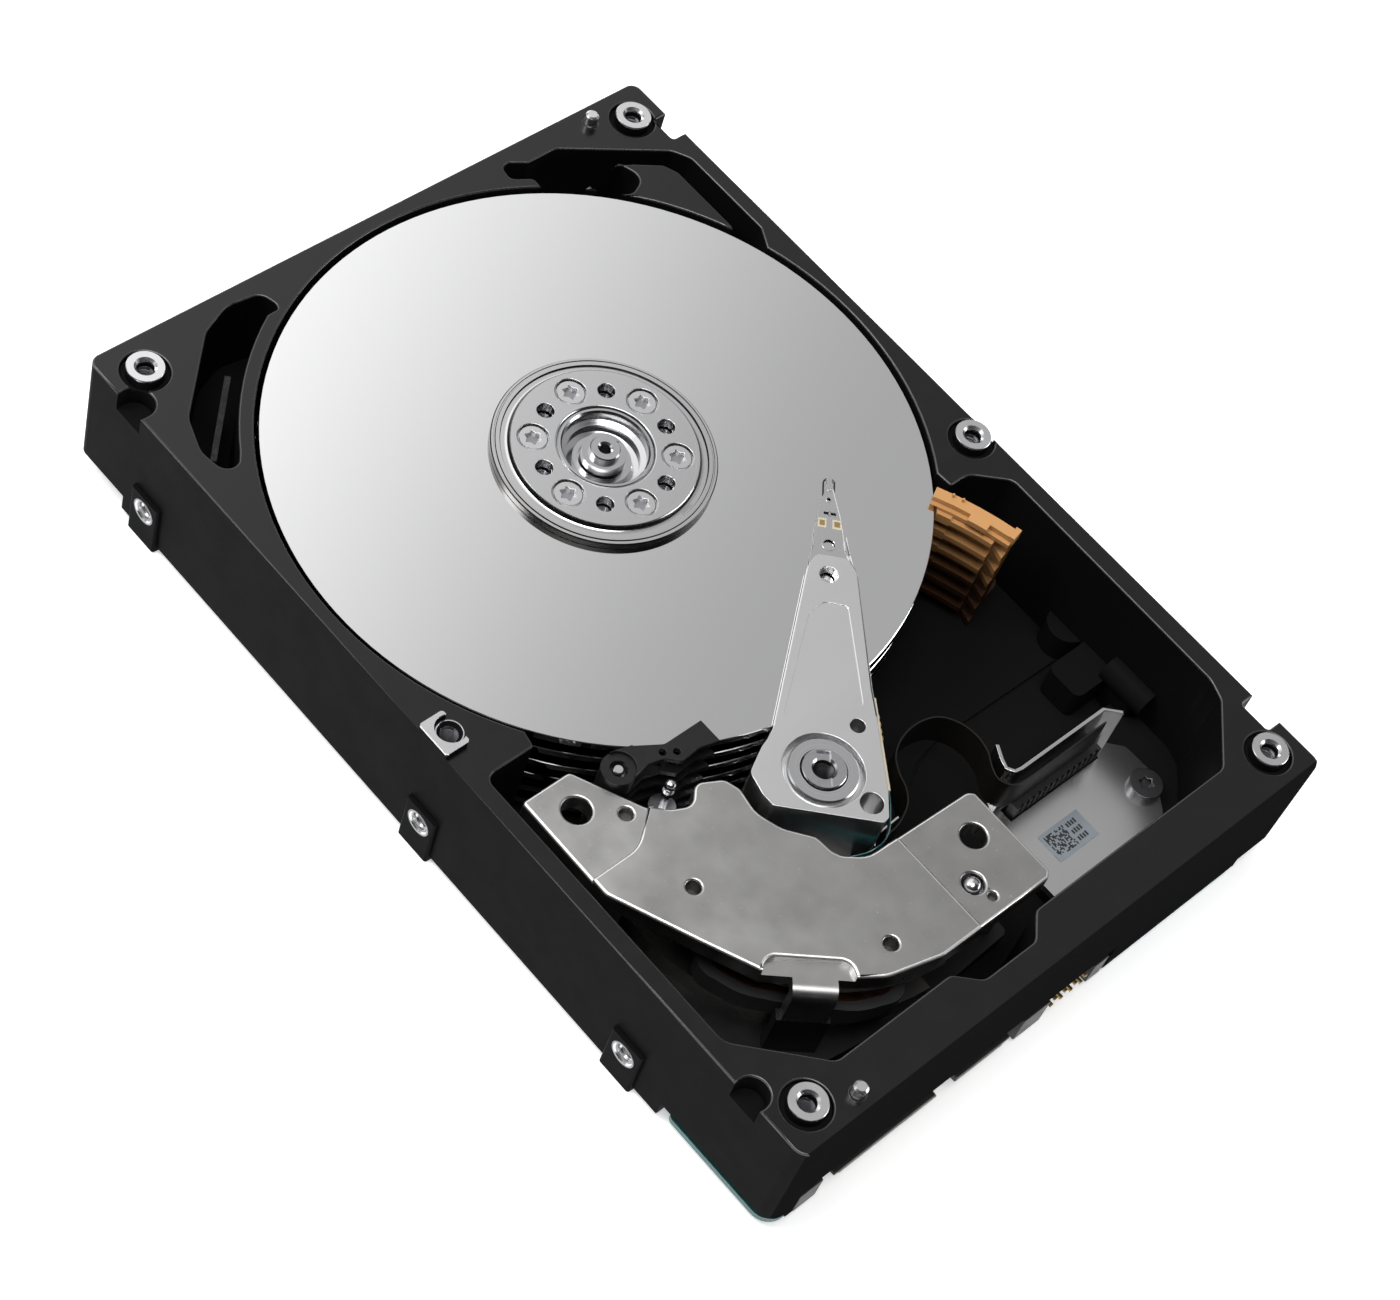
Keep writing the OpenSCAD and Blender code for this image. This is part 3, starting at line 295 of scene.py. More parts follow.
def sheet_metal(name, colour, roughness, stretch=(1, 1, 1), turn=0.0):
    f = Finish(name, colour, roughness, metallic=1.0)
    f.rough(f.noise(0.1, 3, stretch, turn), 0.01)
    f.tint(f.noise(0.2, 3, stretch, turn), tuple(c * 0.98 for c in colour))
    return f


def nickel_plate():
    f = Finish("yoke_nickel", (0.43, 0.425, 0.42), 0.3, metallic=1.0)
    f.rough(f.noise(0.3, 3), 0.03)
    place = f.add("ShaderNodeSeparateXYZ")
    f.link(f.place, place.inputs["Vector"])
    # Painted highlight: lighter towards the left end of the yoke, from x = -8 mm to x = -42 mm, where more
    # light falls
    f.tint(place.outputs["X"], (0.64, 0.635, 0.63), 1.0, 0.0, -42 * MM, -8 * MM)
    f.tint(f.noise(0.12, 3), (0.45, 0.445, 0.44))
    f.tint(f.noise(2.4, 4), (0.8, 0.78, 0.76), 0, 0.7, 0.68, 0.76)
    f.relief(f.noise(2.2, 3), 0.003, 0.3)
    return f


def plastic(name, colour, roughness, grain=2.5, depth=0.006, specular=0.5):
    f = Finish(name, colour, roughness, specular=specular)
    f.rough(f.noise(0.6, 4), 0.05)
    f.tint(f.noise(0.4, 3), tuple(c * 0.75 for c in colour), 0, 0.5)
    f.relief(f.noise(grain, 4), depth, 0.4)
    return f


def tan_plastic_painted_shade():
    """Amber plastic with painted shade: darker towards the foot, where the ramp lies in shadow."""
    f = Finish("ramp_tan", (0.57, 0.29, 0.105), 0.4)
    f.rough(f.noise(0.6, 4), 0.05)
    place = f.add("ShaderNodeSeparateXYZ")
    f.link(f.place, place.inputs["Vector"])
    # Painted shade: darkens from z = 24 mm down to z = 12 mm
    f.tint(place.outputs["Z"], (0.03, 0.011, 0.003), 1.0, 0.0, 12 * MM, 24 * MM)
    f.relief(f.noise(2.5, 4), 0.006, 0.4)
    return f


def copper_winding():
    f = Finish("copper_wire", (0.16, 0.07, 0.035), 0.35, metallic=1.0)
    f.rough(f.noise(1.0, 4), 0.08)
    f.relief(f.noise(3.0, 2, (0.2, 0.2, 2.5)), 0.03, 0.8)
    return f


def solder_resist():
    f = Finish("board_green", (0.008, 0.07, 0.075), 0.38, coat=0.4, coat_roughness=0.2)
    f.tint(f.noise(0.9, 6), (0.012, 0.13, 0.13), 0, 0.8)
    f.relief(f.noise(1.2, 5), 0.01, 0.4)
    return f


def cloth(name, colour):
    f = Finish(name, colour, 0.9, specular=0.2)
    f.tint(f.noise(3.0, 6), tuple(c * 0.4 for c in colour), 0, 0.9)
    f.tint(f.noise(2.0, 2, (0.3, 0.3, 3.0)), tuple(c * 0.3 for c in colour), 0, 0.7)
    f.relief(f.noise(5.0, 6), 0.08, 1.0)
    return f


FINISHES = {
    "black_coat": black_coat(),
    "pin_steel": machined("pin_steel", (0.78, 0.78, 0.79), 0.26),
    "felt": cloth("felt", (0.75, 0.75, 0.72)),
    "shaft_steel": turned("shaft_steel", spindle, (0.6, 0.6, 0.62), 0.2),
    "lamination": machined("lamination", (0.35, 0.35, 0.37), 0.45),
    "copper_wire": copper_winding(),
    "hub_metal": turned("hub_metal", spindle, (0.62, 0.62, 0.63), 0.18),
    "magnet_ring": machined("magnet_ring", (0.2, 0.2, 0.21), 0.5),
    "platter_mirror": platter_mirror(),
    "spacer_metal": turned("spacer_metal", spindle, (0.7, 0.7, 0.71), 0.25),
    "clamp_metal": turned("clamp_metal", spindle, (0.72, 0.72, 0.73), 0.2),
    "screw_steel": machined("screw_steel", (0.8, 0.8, 0.81), 0.2),
    "dark_screw": machined("dark_screw", (0.13, 0.13, 0.135), 0.33),
    "bearing_steel": turned("bearing_steel", pivot, (0.7, 0.7, 0.71), 0.22),
    "arm_metal": sheet_metal("arm_metal", (0.9, 0.9, 0.9), 0.26, (0.15, 2.5, 1), -ARM_HEADING),
    "beam_steel": sheet_metal("beam_steel", (0.78, 0.78, 0.785), 0.2),
    "slider_ceramic": plastic("slider_ceramic", (0.03, 0.03, 0.035), 0.25),
    "coil_resin": plastic("coil_resin", (0.02, 0.02, 0.022), 0.5),
    "flex_amber": plastic("flex_amber", (0.62, 0.55, 0.42), 0.35),
    "chip_black": plastic("chip_black", (0.012, 0.012, 0.013), 0.45),
    "cable_dark": plastic("cable_dark", (0.010, 0.009, 0.008), 0.33, specular=0.35),
    "yoke_nickel": nickel_plate(),
    "magnet_nickel": machined("magnet_nickel", (0.3, 0.29, 0.28), 0.3),
    "stop_steel": machined("stop_steel", (0.62, 0.62, 0.64), 0.22),
    "damper_black": plastic("damper_black", (0.010, 0.010, 0.011), 0.36, specular=0.35),
    "ramp_tan": tan_plastic_painted_shade(),
    "filter_cloth": cloth("filter_cloth", (0.04, 0.04, 0.04)),
    "bracket_sheet": sheet_metal("bracket_sheet", (0.72, 0.72, 0.72), 0.22),
    "connector_black": plastic("connector_black", (0.014, 0.014, 0.015), 0.45),
    "board_green": solder_resist(),
    "contact_gold": machined("contact_gold", (0.5, 0.36, 0.16), 0.35),
    "insulator_sheet": plastic("insulator_sheet", (0.03, 0.03, 0.032), 0.6),
    "label_paper": plastic("label_paper", (0.24, 0.27, 0.3), 0.35),
    "yoke_dark": plastic("yoke_dark", (0.006, 0.006, 0.0065), 0.42, specular=0.3),
}

for node, obj in nodes.items():
    for held in obj.material_slots:
        held.material = FINISHES[SLOT_OF[node]].material


# ------------------------------------------------------------------ building meshes

def settle(work, mesh):
    """Writes the worked mesh back with smooth shading and its own corner normals."""
    work.normal_update()
    refill_folded(work)
    work.normal_update()
    normals = corner_normals(work)
    work.to_mesh(mesh)
    work.free()
    mesh.shade_smooth()
    mesh.normals_split_custom_set(normals)


def bevel(work, edges, width, segments=2, clamp=False):
    """Rounds edges and marks the new faces in the layer named rounded."""
    mark = work.faces.layers.int.get("rounded") or work.faces.layers.int.new("rounded")
    made = bmesh.ops.bevel(work, geom=edges, offset=width * MM, segments=segments, profile=0.5,
                           affect="EDGES", clamp_overlap=clamp, loop_slide=False)
    for face in made["faces"]:
        face[mark] = 1
    bmesh.ops.remove_doubles(work, verts=work.verts, dist=1e-7)


def refill_folded(work):
    """Fills again, with triangles, every large flat face whose own triangles fold over each other."""
    folded = set()
    for a, b, c in work.calc_loop_triangles():
        turn = (b.vert.co - a.vert.co).cross(c.vert.co - a.vert.co)
        if turn.dot(a.face.normal) < -1e-12:
            folded.add(a.face)
    for face in folded:
        normal, edges = face.normal.copy(), list(face.edges)
        bmesh.ops.delete(work, geom=[face], context="FACES_ONLY")
        filled = bmesh.ops.triangle_fill(work, edges=edges, normal=normal,
                                         use_beauty=True, use_dissolve=False)
        for item in filled["geom"]:
            if isinstance(item, bmesh.types.BMFace) and item.normal.dot(normal) < 0:
                item.normal_flip()


def corner_normals(work, smooth_degrees=32):
    """Normal of every face corner: flat faces stay flat and rounded edges blend between them."""
    mark = work.faces.layers.int.get("rounded")
    least = math.cos(math.radians(smooth_degrees))

    def is_rounded(face):
        return mark is not None and face[mark] == 1

    def blended(vert, normal, faces, limit):
        total = Vector((0, 0, 0))
        for face in faces:
            if face.normal.dot(normal) > limit:
                total += face.normal * face.calc_area()
        return total.normalized() if total.length > 0 else normal

    out = []
    for face in work.faces:
        for loop in face.loops:
            around = loop.vert.link_faces
            plain = [g for g in around if not is_rounded(g)]
            if not is_rounded(face):
                out.append(blended(loop.vert, face.normal, plain, least))
            elif plain:
                nearest = max(plain, key=lambda g: g.normal.dot(face.normal))
                out.append(blended(loop.vert, nearest.normal, plain, least))
            else:
                out.append(blended(loop.vert, face.normal, around, -1))
    return out


def corner_edge(edge, least=50):
    """True for an outward edge sharper than the given turn, in degrees."""
    return len(edge.link_faces) == 2 and edge.is_convex and edge.calc_face_angle(0) > math.radians(least)


class Shape:
    """A mesh under construction, in millimetres."""

    def __init__(self):
        self.verts = []
        self.faces = []

    def skin(self, rings, round_trip=False):
        """Joins rings of equally many points into a closed surface."""
        first, n = len(self.verts), len(rings[0])
        for ring in rings:
            self.verts += [Vector(p) for p in ring]
        for i in range(len(rings) if round_trip else len(rings) - 1):
            a, b = first + i * n, first + (i + 1) % len(rings) * n
            self.faces += [(a + j, a + (j + 1) % n, b + (j + 1) % n, b + j) for j in range(n)]
        if not round_trip:
            last = first + (len(rings) - 1) * n
            self.faces += [tuple(first + j for j in reversed(range(n))), tuple(last + j for j in range(n))]
        return self

    def prism(self, outline, z0, z1):
        return self.skin([[(x, y, z) for x, y in outline] for z in (z0, z1)])

    def block(self, low, high):
        return self.prism([(low[0], low[1]), (high[0], low[1]), (high[0], high[1]), (low[0], high[1])],
                          low[2], high[2])

    def lathe(self, profile, spot=(0, 0), steps=64):
        """Turns a closed outline of (radius, height) points round an upright axis."""
        angles = [2 * math.pi * i / steps for i in range(steps)]
        return self.skin([[(spot[0] + r * math.cos(a), spot[1] + r * math.sin(a), z) for r, z in profile]
                          for a in angles], round_trip=True)

    def dome(self, spot, z, radius, height, steps=16, rows=4):
        """A low dome with a flat underside."""
        rings = []
        for i in range(rows + 1):
            a = math.pi / 2 * i / (rows + 0.6)
            rings.append([(spot[0] + radius * math.cos(a) * math.cos(2 * math.pi * j / steps),
                           spot[1] + radius * math.cos(a) * math.sin(2 * math.pi * j / steps),
                           z + height * math.sin(a)) for j in range(steps)])
        return self.skin(rings)

    def sweep(self, section, route):
        """Carries a closed section of (sideways, up) points along a route of 3D points."""
        route = [Vector(p) for p in route]
        rings = []
        for i, point in enumerate(route):
            along = (route[min(i + 1, len(route) - 1)] - route[max(i - 1, 0)]).normalized()
            side = along.cross(Vector((0, 0, 1))).normalized()
            up = side.cross(along)
            rings.append([point + side * s + up * u for s, u in section])
        return self.skin(rings)

    def thread(self, radius, depth, pitch, z0, z1, steps=24):
        """Helical ridge inside a hole round the Z axis."""
        turns = (z1 - z0) / pitch
        root, flank = radius + 0.03, 0.42 * pitch
        rings = []
        for i in range(int(turns * steps) + 1):
            a = 2 * math.pi * i / steps
            z = z0 + pitch * i / steps
            ridge = ((root, -flank), (radius - depth, 0), (root, flank))
            rings.append([(r * math.cos(a), r * math.sin(a), z + dz) for r, dz in ridge])
        return self.skin(rings)

    def put(self, other, place):
        """Adds another shape, moved by a matrix."""
        first = len(self.verts)
        self.verts += [place @ v for v in other.verts]
        self.faces += [tuple(first + i for i in face) for face in other.faces]
        return self


def dress(mesh, name, body=None):
    """An object for a mesh, moving with a body unless the body is left out."""
    obj = bpy.data.objects.new(name, mesh)
    scene.collection.objects.link(obj)
    if body:
        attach(obj, body)
    return obj


def piece(name, shape, slot, body, rounding=0.0, finish=None):
    mesh = bpy.data.meshes.new(name)
    mesh.from_pydata([v * MM for v in shape.verts], [], shape.faces)
    work = bmesh.new()
    work.from_mesh(mesh)
    bmesh.ops.recalc_face_normals(work, faces=work.faces)
    if rounding:
        bevel(work, [e for e in work.edges if corner_edge(e)], rounding, 1, clamp=True)
    settle(work, mesh)
    mesh.materials.append((finish or FINISHES[slot]).material)
    return dress(mesh, name, body)


def crisp_copy(node, *passes):
    """A copy of a CAD node with rounded edges.

    A pass is (wanted, width, segments); wanted(edge) picks the edges.
    """
    mesh = nodes[node].data.copy()
    work = bmesh.new()
    work.from_mesh(mesh)
    bmesh.ops.remove_doubles(work, verts=work.verts, dist=1e-7)
    bmesh.ops.dissolve_limit(work, angle_limit=math.radians(0.5), verts=work.verts, edges=work.edges)
    for wanted, width, segments in passes:
        bevel(work, [e for e in work.edges if wanted(e)], width, segments)
    settle(work, mesh)
    obj = dress(mesh, node + "_rounded", nodes[node]["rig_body"])
    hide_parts(node)
    return obj


def level(edge, z):
    """True for an edge that lies at height z."""
    return all(abs(v.co.z / MM - z) < 0.01 for v in edge.verts)


def strip(route, width):
    """Outline of a strip of even width along a flat route."""
    points = [Vector(p) for p in route]
    left, right = [], []
    for i, point in enumerate(points):
        along = (points[min(i + 1, len(points) - 1)] - points[max(i - 1, 0)]).normalized()
        side = Vector((-along.y, along.x)) * width / 2
        left.append(tuple(point + side))
        right.append(tuple(point - side))
    return left + right[::-1]


def curved(route, steps=6):
    """Smooth route through the given points."""
    points = [Vector(p) for p in route]
    points = [2 * points[0] - points[1]] + points + [2 * points[-1] - points[-2]]
    out = []
    for a, b, c, d in zip(points, points[1:], points[2:], points[3:]):
        for i in range(steps):
            t = i / steps
            out.append(0.5 * (2 * b + (c - a) * t + (2 * a - 5 * b + 4 * c - d) * t * t
                              + (3 * b - a - 3 * c + d) * t ** 3))
    return out + [points[-2]]


# ------------------------------------------------------------------ rounded edges on the CAD's own shapes

def high_corner(z):
    """Corners whose both ends are above z."""
    return lambda edge: corner_edge(edge) and all(v.co.z / MM > z for v in edge.verts)


def casting_rim(edge):
    return corner_edge(edge) and (level(edge, DECK_Z) or level(edge, BOSS_Z))


def near_side_hole(spot, reach):
    return any(math.hypot(spot.y - y, spot.z - SIDE_HOLE_Z) < reach for y in SIDE_HOLE_YS)


def side_hole_mouth(edge):
    """Rims of the tapped holes in the side pads."""
    at_pad = all(abs(abs(v.co.x / MM) - HALF_WIDTH) < 0.01 for v in edge.verts)
    spot = edge.verts[0].co / MM
    return at_pad and near_side_hole(spot, 1.9)


def yoke_step(edge):
    """The joggle between the main face of the yoke and its lower left ear."""
    middle = (edge.verts[0].co + edge.verts[1].co) / 2 / MM
    on_joggle = middle.x < -31.5 and middle.y > -28.2 and (middle.y < -27.0 or middle.x > -38.5)
    return corner_edge(edge) and level(edge, YOKE_FACE_Z) and on_joggle


def yoke_rim(edge):
    return high_corner(YOKE_LOW_Z)(edge) and not yoke_step(edge)


base_body = nodes["base_casting"]["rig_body"]
arm_body = nodes["arm_block"]["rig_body"]
spindle_body = nodes["spindle_hub"]["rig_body"]

casting = crisp_copy("base_casting", (side_hole_mouth, 0.3, 1), (casting_rim, 0.25, 2))
yoke = crisp_copy("yoke_top_plate", (yoke_step, 0.4, 4), (yoke_rim, 0.4, 4))
crisp_copy("arm_block", (high_corner(TOP_ARM_Z + 0.45), 0.06, 2))
clamp = crisp_copy("disk_clamp", (high_corner(top_of("disk_clamp") - 0.05), 0.08, 2))
crisp_copy("clamp_screws", (high_corner(top_of("clamp_screws") - 0.05), 0.06, 2))
crisp_copy("pivot_shaft", (high_corner(top_of("pivot_shaft") - 0.05), 0.05, 2))
crisp_copy("parking_ramp", (high_corner(23.9), 0.1, 2))
crisp_copy("cable_bracket", (high_corner(top_of("cable_bracket") - 0.05), 0.08, 2))
crisp_copy("bracket_screw", (high_corner(top_of("bracket_screw") - 0.05), 0.12, 2))
crisp_copy("disk_damper", (high_corner(TOP_ARM_Z + 0.3), 0.1, 2))
crisp_copy("sata_connector", (corner_edge, 0.12, 1))
crisp_copy("controller_chip", (corner_edge, 0.1, 1))
crisp_copy("memory_chip", (corner_edge, 0.1, 1))
crisp_copy("motor_driver_chip", (corner_edge, 0.1, 1))


def coat_casting():
    """Gives the cover face and the rounded edges of the casting their own coats; the rounded edges get a
    brighter, glossier copy of the coat, a painted highlight.
    """
    mesh = casting.data
    for finish in (black_deck(), black_edge_painted_highlight(), black_wall(), FINISHES["lamination"]):
        mesh.materials.append(finish.material)
    # edge is the painted highlight on the rounded edges
    deck, edge, wall, countersink = 1, 2, 3, 4
    rounded = mesh.attributes["rounded"].data
    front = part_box("base_casting")[0].y
    for face in mesh.polygons:
        spot = face.center / MM
        if abs(spot.x) > HALF_WIDTH - 0.4 and abs(face.normal.x) < 0.95 and near_side_hole(spot, 2.4):
            face.material_index = countersink
        elif rounded[face.index].value:
            face.material_index = edge
        elif face.normal.y < -0.7 and face.center.y < front + 4 * MM:
            face.material_index = wall
        elif face.normal.z > 0.9 and face.center.z / MM > DECK_Z - 0.01:
            face.material_index = deck


def coat_clamp():
    """Paints shade on the steep faces of the clamp outside its plateau: a dark copy of the clamp metal stands
    in for the shaded platter they reflect.
    """
    clamp.data.materials.append(turned("clamp_painted_shade", spindle, (0.07, 0.068, 0.066), 0.25).material)
    rounded = clamp.data.attributes["rounded"].data
    for face in clamp.data.polygons:
        reach = math.hypot(face.center.x / MM - spindle.x, face.center.y / MM - spindle.y)
        steep = abs(face.normal.z) < 0.75
        if reach > CLAMP_PLATEAU_RADIUS and steep and not rounded[face.index].value:
            face.material_index = 1


def coat_yoke():
    """Paints shade, a dark metal, inside the small blind holes in the yoke, and a painted highlight, a bright
    metal, on its rounded edges except those round the holes or facing +Y.
    """
    yoke.data.materials.append(machined("yoke_hole_painted_shade", (0.15, 0.145, 0.14), 0.4).material)
    yoke.data.materials.append(machined("yoke_edge_painted_highlight", (0.88, 0.87, 0.86), 0.45).material)
    rounded = yoke.data.attributes["rounded"].data
    # hole is the painted shade in the blind holes, edge the painted highlight on the rounded edges
    plain, hole, edge = 0, 1, 2
    holes = YOKE_BLIND_HOLES + YOKE_THROUGH_HOLES
    for face in yoke.data.polygons:
        x, y = face.center.x / MM, face.center.y / MM
        if rounded[face.index].value:
            round_hole = any(math.hypot(x - a, y - b) < 2.4 for a, b in holes)
            face.material_index = plain if round_hole or face.normal.y > 0.3 else edge
        elif any(math.hypot(x - a, y - b) < 1.1 for a, b in YOKE_BLIND_HOLES):
            face.material_index = hole


coat_casting()
coat_clamp()
coat_yoke()


# ------------------------------------------------------------------ machined faces and threads of the casting

def boss_facings():
    """Bright machined faces on top of the cover-screw bosses."""
    shape = Shape()
    for spot in COVER_BOSSES:
        shape.lathe([(1.24, BOSS_Z - 0.7), (1.9, BOSS_Z - 0.7), (2.67, BOSS_Z - 0.3), (2.67, BOSS_Z - 0.06),
                     (2.6, BOSS_Z + 0.015), (1.6, BOSS_Z + 0.015), (1.24, BOSS_Z - 0.35)], spot)
    return shape


def square_boss_facing():
    """Bright top of the square boss, open on one side round its counterbore."""
    hole, radius = SQUARE_BOSS_HOLE, 2.16
    left, right, front, back, corner = -50.155, -46.195, -3.605, 2.105, 0.3
    reach = math.sqrt(radius ** 2 - (right - hole[0]) ** 2)
    start = math.atan2(reach, right - hole[0])
    arc = [(hole[0] + radius * math.cos(a), hole[1] + radius * math.sin(a))
           for a in [start + (2 * math.pi - 2 * start) * i / 24 for i in range(25)]]
    outline = arc[::-1] + [(right, back - corner), (right - corner, back), (left + corner, back),
                           (left, back - corner), (left, front + corner), (left + corner, front),
                           (right - corner, front), (right, front + corner)]
    return Shape().prism(outline, BOSS_Z - 0.3, BOSS_Z + 0.015)


def square_boss_chamfer():
    profile = [(1.24, DECK_Z - 0.7), (1.9, DECK_Z - 0.7), (1.9, DECK_Z + 0.02), (1.765, DECK_Z + 0.02),
               (1.24, DECK_Z - 0.51)]
    return Shape().lathe(profile, SQUARE_BOSS_HOLE)


def tapped(thread, low, high, chamfer):
    """Bright lining of a tapped hole and its thread, round the Z axis. The mouth is at high."""
    radius, depth, pitch = thread
    wall, inner = 0.03, radius - 0.02
    shape = Shape().lathe([(inner, low), (inner, high - chamfer), (inner + chamfer, high),
                           (radius + chamfer + wall, high), (radius + wall, low)])
    return shape.put(Shape().thread(radius, depth, pitch, low + pitch, high - chamfer - pitch / 2),
                     Matrix.Identity(4))


def upright(spot):
    return Matrix.Translation((spot[0], spot[1], 0))


def cover_threads():
    shape = Shape()
    for spot in COVER_BOSSES + [SQUARE_BOSS_HOLE]:
        shape.put(tapped(COVER_THREAD, DECK_Z - 6.9, DECK_Z - 0.6, 0.02), upright(spot))
    return shape


def side_threads():
    shape = Shape()
    hole = tapped(MOUNT_THREAD, -4.5, -0.012, 0.35)
    for side in (-1, 1):
        turn = Matrix.Rotation(math.radians(90 * side), 4, "Y")
        for y in SIDE_HOLE_YS:
            shape.put(hole, Matrix.Translation((side * HALF_WIDTH, y, SIDE_HOLE_Z)) @ turn)
    return shape


def bottom_threads():
    shape = Shape()
    hole = tapped(MOUNT_THREAD, -4.9, -0.012, 0.1)
    for x, y in BOTTOM_HOLES:
        shape.put(hole, Matrix.Translation((x, y, 0.9)) @ Matrix.Rotation(math.pi, 4, "X"))
    return shape


def pivot_thread():
    return Shape().put(tapped(PIVOT_THREAD, 16.0, 24.0, 0.25), upright(pivot))


piece("boss_facings", boss_facings(), "pin_steel", base_body)
piece("square_boss_facing", square_boss_facing(), "pin_steel", base_body, 0.03)
piece("square_boss_chamfer", square_boss_chamfer(), "pin_steel", base_body)
piece("cover_threads", cover_threads(), "lamination", base_body)
piece("side_threads", side_threads(), "pin_steel", base_body)
piece("bottom_threads", bottom_threads(), "pin_steel", base_body)
piece("pivot_thread", pivot_thread(), "dark_screw", nodes["pivot_shaft"]["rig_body"])


# ------------------------------------------------------------------ small marks

def label_print():
    """Generic print on the bracket label: a scatter of small squares and three rows of short bars.

    The scatter comes from a plain number sequence and encodes nothing.
    """
    low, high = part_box("bracket_label")
    x0, y0, z = low.x / MM + 0.55, low.y / MM + 0.6, high.z / MM
    cell, columns, rows = 0.24, 16, 15
    filled_percent = 52
    state = 7
    shape = Shape()
    for i in range(columns):
        for j in range(rows):
            state = (state * 75 + 74) % 65537
            if state % 100 < filled_percent:
                x, y = x0 + cell * i, y0 + cell * j
                shape.block((x, y, z), (x + 0.97 * cell, y + 0.97 * cell, z + 0.01))
    for row in range(3):
        for bar in range(4):
            x, y = x0 + 4.3 + 0.5 * bar, y0 + 0.2 + 1.25 * row
            shape.block((x, y, z), (x + 0.32, y + 0.7 + 0.1 * (bar % 2), z + 0.01))
    return shape


def star_floors_painted_shade():
    """Darker metal on the floors of the six-lobe recesses in the clamp screws: painted shade in the recesses.
    """
    shape = Shape()
    for i in range(CLAMP_SCREW_COUNT):
        a = math.radians(CLAMP_SCREW_START + 360 / CLAMP_SCREW_COUNT * i)
        x, y = spindle.x + CLAMP_SCREW_RADIUS * math.cos(a), spindle.y + CLAMP_SCREW_RADIUS * math.sin(a)
        points = []
        for j in range(12):
            r = 1.3 if j % 2 == 0 else 0.88
            b = math.radians(30 * j)
            points.append((x + r * math.cos(b), y + r * math.sin(b)))
        shape.prism(points, *STAR_FLOOR_Z)
    return shape


piece("label_print", label_print(), "chip_black", base_body)
piece("star_floors_painted_shade", star_floors_painted_shade(), "lamination", spindle_body)


# ------------------------------------------------------------------ suspensions and flex circuits

def heads():
    """(arm, side) of every suspension; side is -1 under the arm."""
    return [(k, -1) for k in range(ARM_COUNT - 1)] + [(k, 1) for k in range(1, ARM_COUNT)]


def arm_face(head):
    """Height of the arm face that the suspension is mounted on."""
    return TOP_ARM_Z - head[0] * PLATTER_PITCH + head[1] * ARM_T / 2


def per_head(make):
    """One copy of make(z, towards_arm) per suspension. z is the beam's face on the arm's side."""
    shape = Shape()
    for head in heads():
        make(shape, arm_face(head) + head[1] * 0.15, -head[1])
    moved = Shape()
    moved.put(shape, arm_place)
    return moved


def layer(shape, outline, z, towards, low, high):
    """A flat layer from low to high, measured from z in the direction towards (1 is up)."""
    a, b = sorted((z + towards * low, z + towards * high))
    shape.prism(outline, a, b)


def beam_rails(shape, z, towards):
    """Bent edges of the load beam, the bridge over its slot and the rims of its holes."""
    for route in ([(37.0, 2.05), (40.4, 1.86), (42.6, 1.55), (47.4, 0.5)],
                  [(37.0, -2.5), (40.2, -2.14), (42.6, -1.75), (47.4, -0.56)]):
        layer(shape, strip(route, 0.1), z, towards, -0.02, 0.13)
    layer(shape, strip([(42.6, -0.15), (43.4, -0.15)], 0.28), z, towards, -0.07, 0.0)
    for x, y, inner, outer in ((37.7, -0.2, 0.84, 1.04), (45.5, 0, 0.29, 0.45), (47.2, -0.05, 0.12, 0.3)):
        low, high = sorted((z, z + towards * 0.05))
        shape.lathe([(inner, low), (outer, low), (outer, high), (inner, high)], (x, y), 32)


def solder_frames(shape, z, towards):
    for low_y, high_y in ((0.28, 1.5), (-1.95, -0.6)):
        outline = [(40.5, low_y), (42.1, low_y), (42.1, high_y), (40.5, high_y)]
        layer(shape, outline, z, towards, 0.0, 0.03)


def solder_pads(shape, z, towards):
    for low_y, high_y in ((0.52, 1.26), (-1.68, -0.86)):
        outline = [(40.85, low_y), (41.75, low_y), (41.75, high_y), (40.85, high_y)]
        layer(shape, outline, z, towards, 0.03, 0.06)


def gimbal_arms(shape, z, towards):
    """Thin side arms of the flexure beside the slider."""
    for side in (-1, 1):
        route = [(45.9, side * 0.55), (46.5, side * 0.8), (48.8, side * 0.8), (49.2, side * 0.4)]
        layer(shape, strip(route, 0.16), z, towards, -0.1, -0.14)


def tail_routes():
    return [Vector(p) for p in ((9.0, -7.3), (10.6, -7.12), (14.2, -6.45), (24.0, -5.24), (32.7, -4.16),
                                (34.2, -3.55), (36.4, -2.95), (38.9, -2.5))]


def flexure_tails():
    """Ribbons that run from the suspensions along the side of each arm to the board on the block."""
    shape = Shape()
    for k in range(ARM_COUNT):
        z = TOP_ARM_Z - k * PLATTER_PITCH
        shape.prism(strip(tail_routes(), 0.09), z - 0.42, z + 0.2)
    return Shape().put(shape, arm_place)


def coil_lead():
    """Lead that drops from the block's corner and curls round its foot to the coil."""
    route = curved([(-0.5, -9.35, 21.5), (-3, -9.7, 21), (-6, -9.8, 19.5), (-7.6, -8.2, 17.6),
                    (-8.6, -5, 16.4), (-10, -1, 15.4), (-11, 3, 14.9)])
    section = [(-0.06, -0.7), (0.06, -0.7), (0.06, 0.7), (-0.06, 0.7)]
    return Shape().put(Shape().sweep(section, route), arm_place)


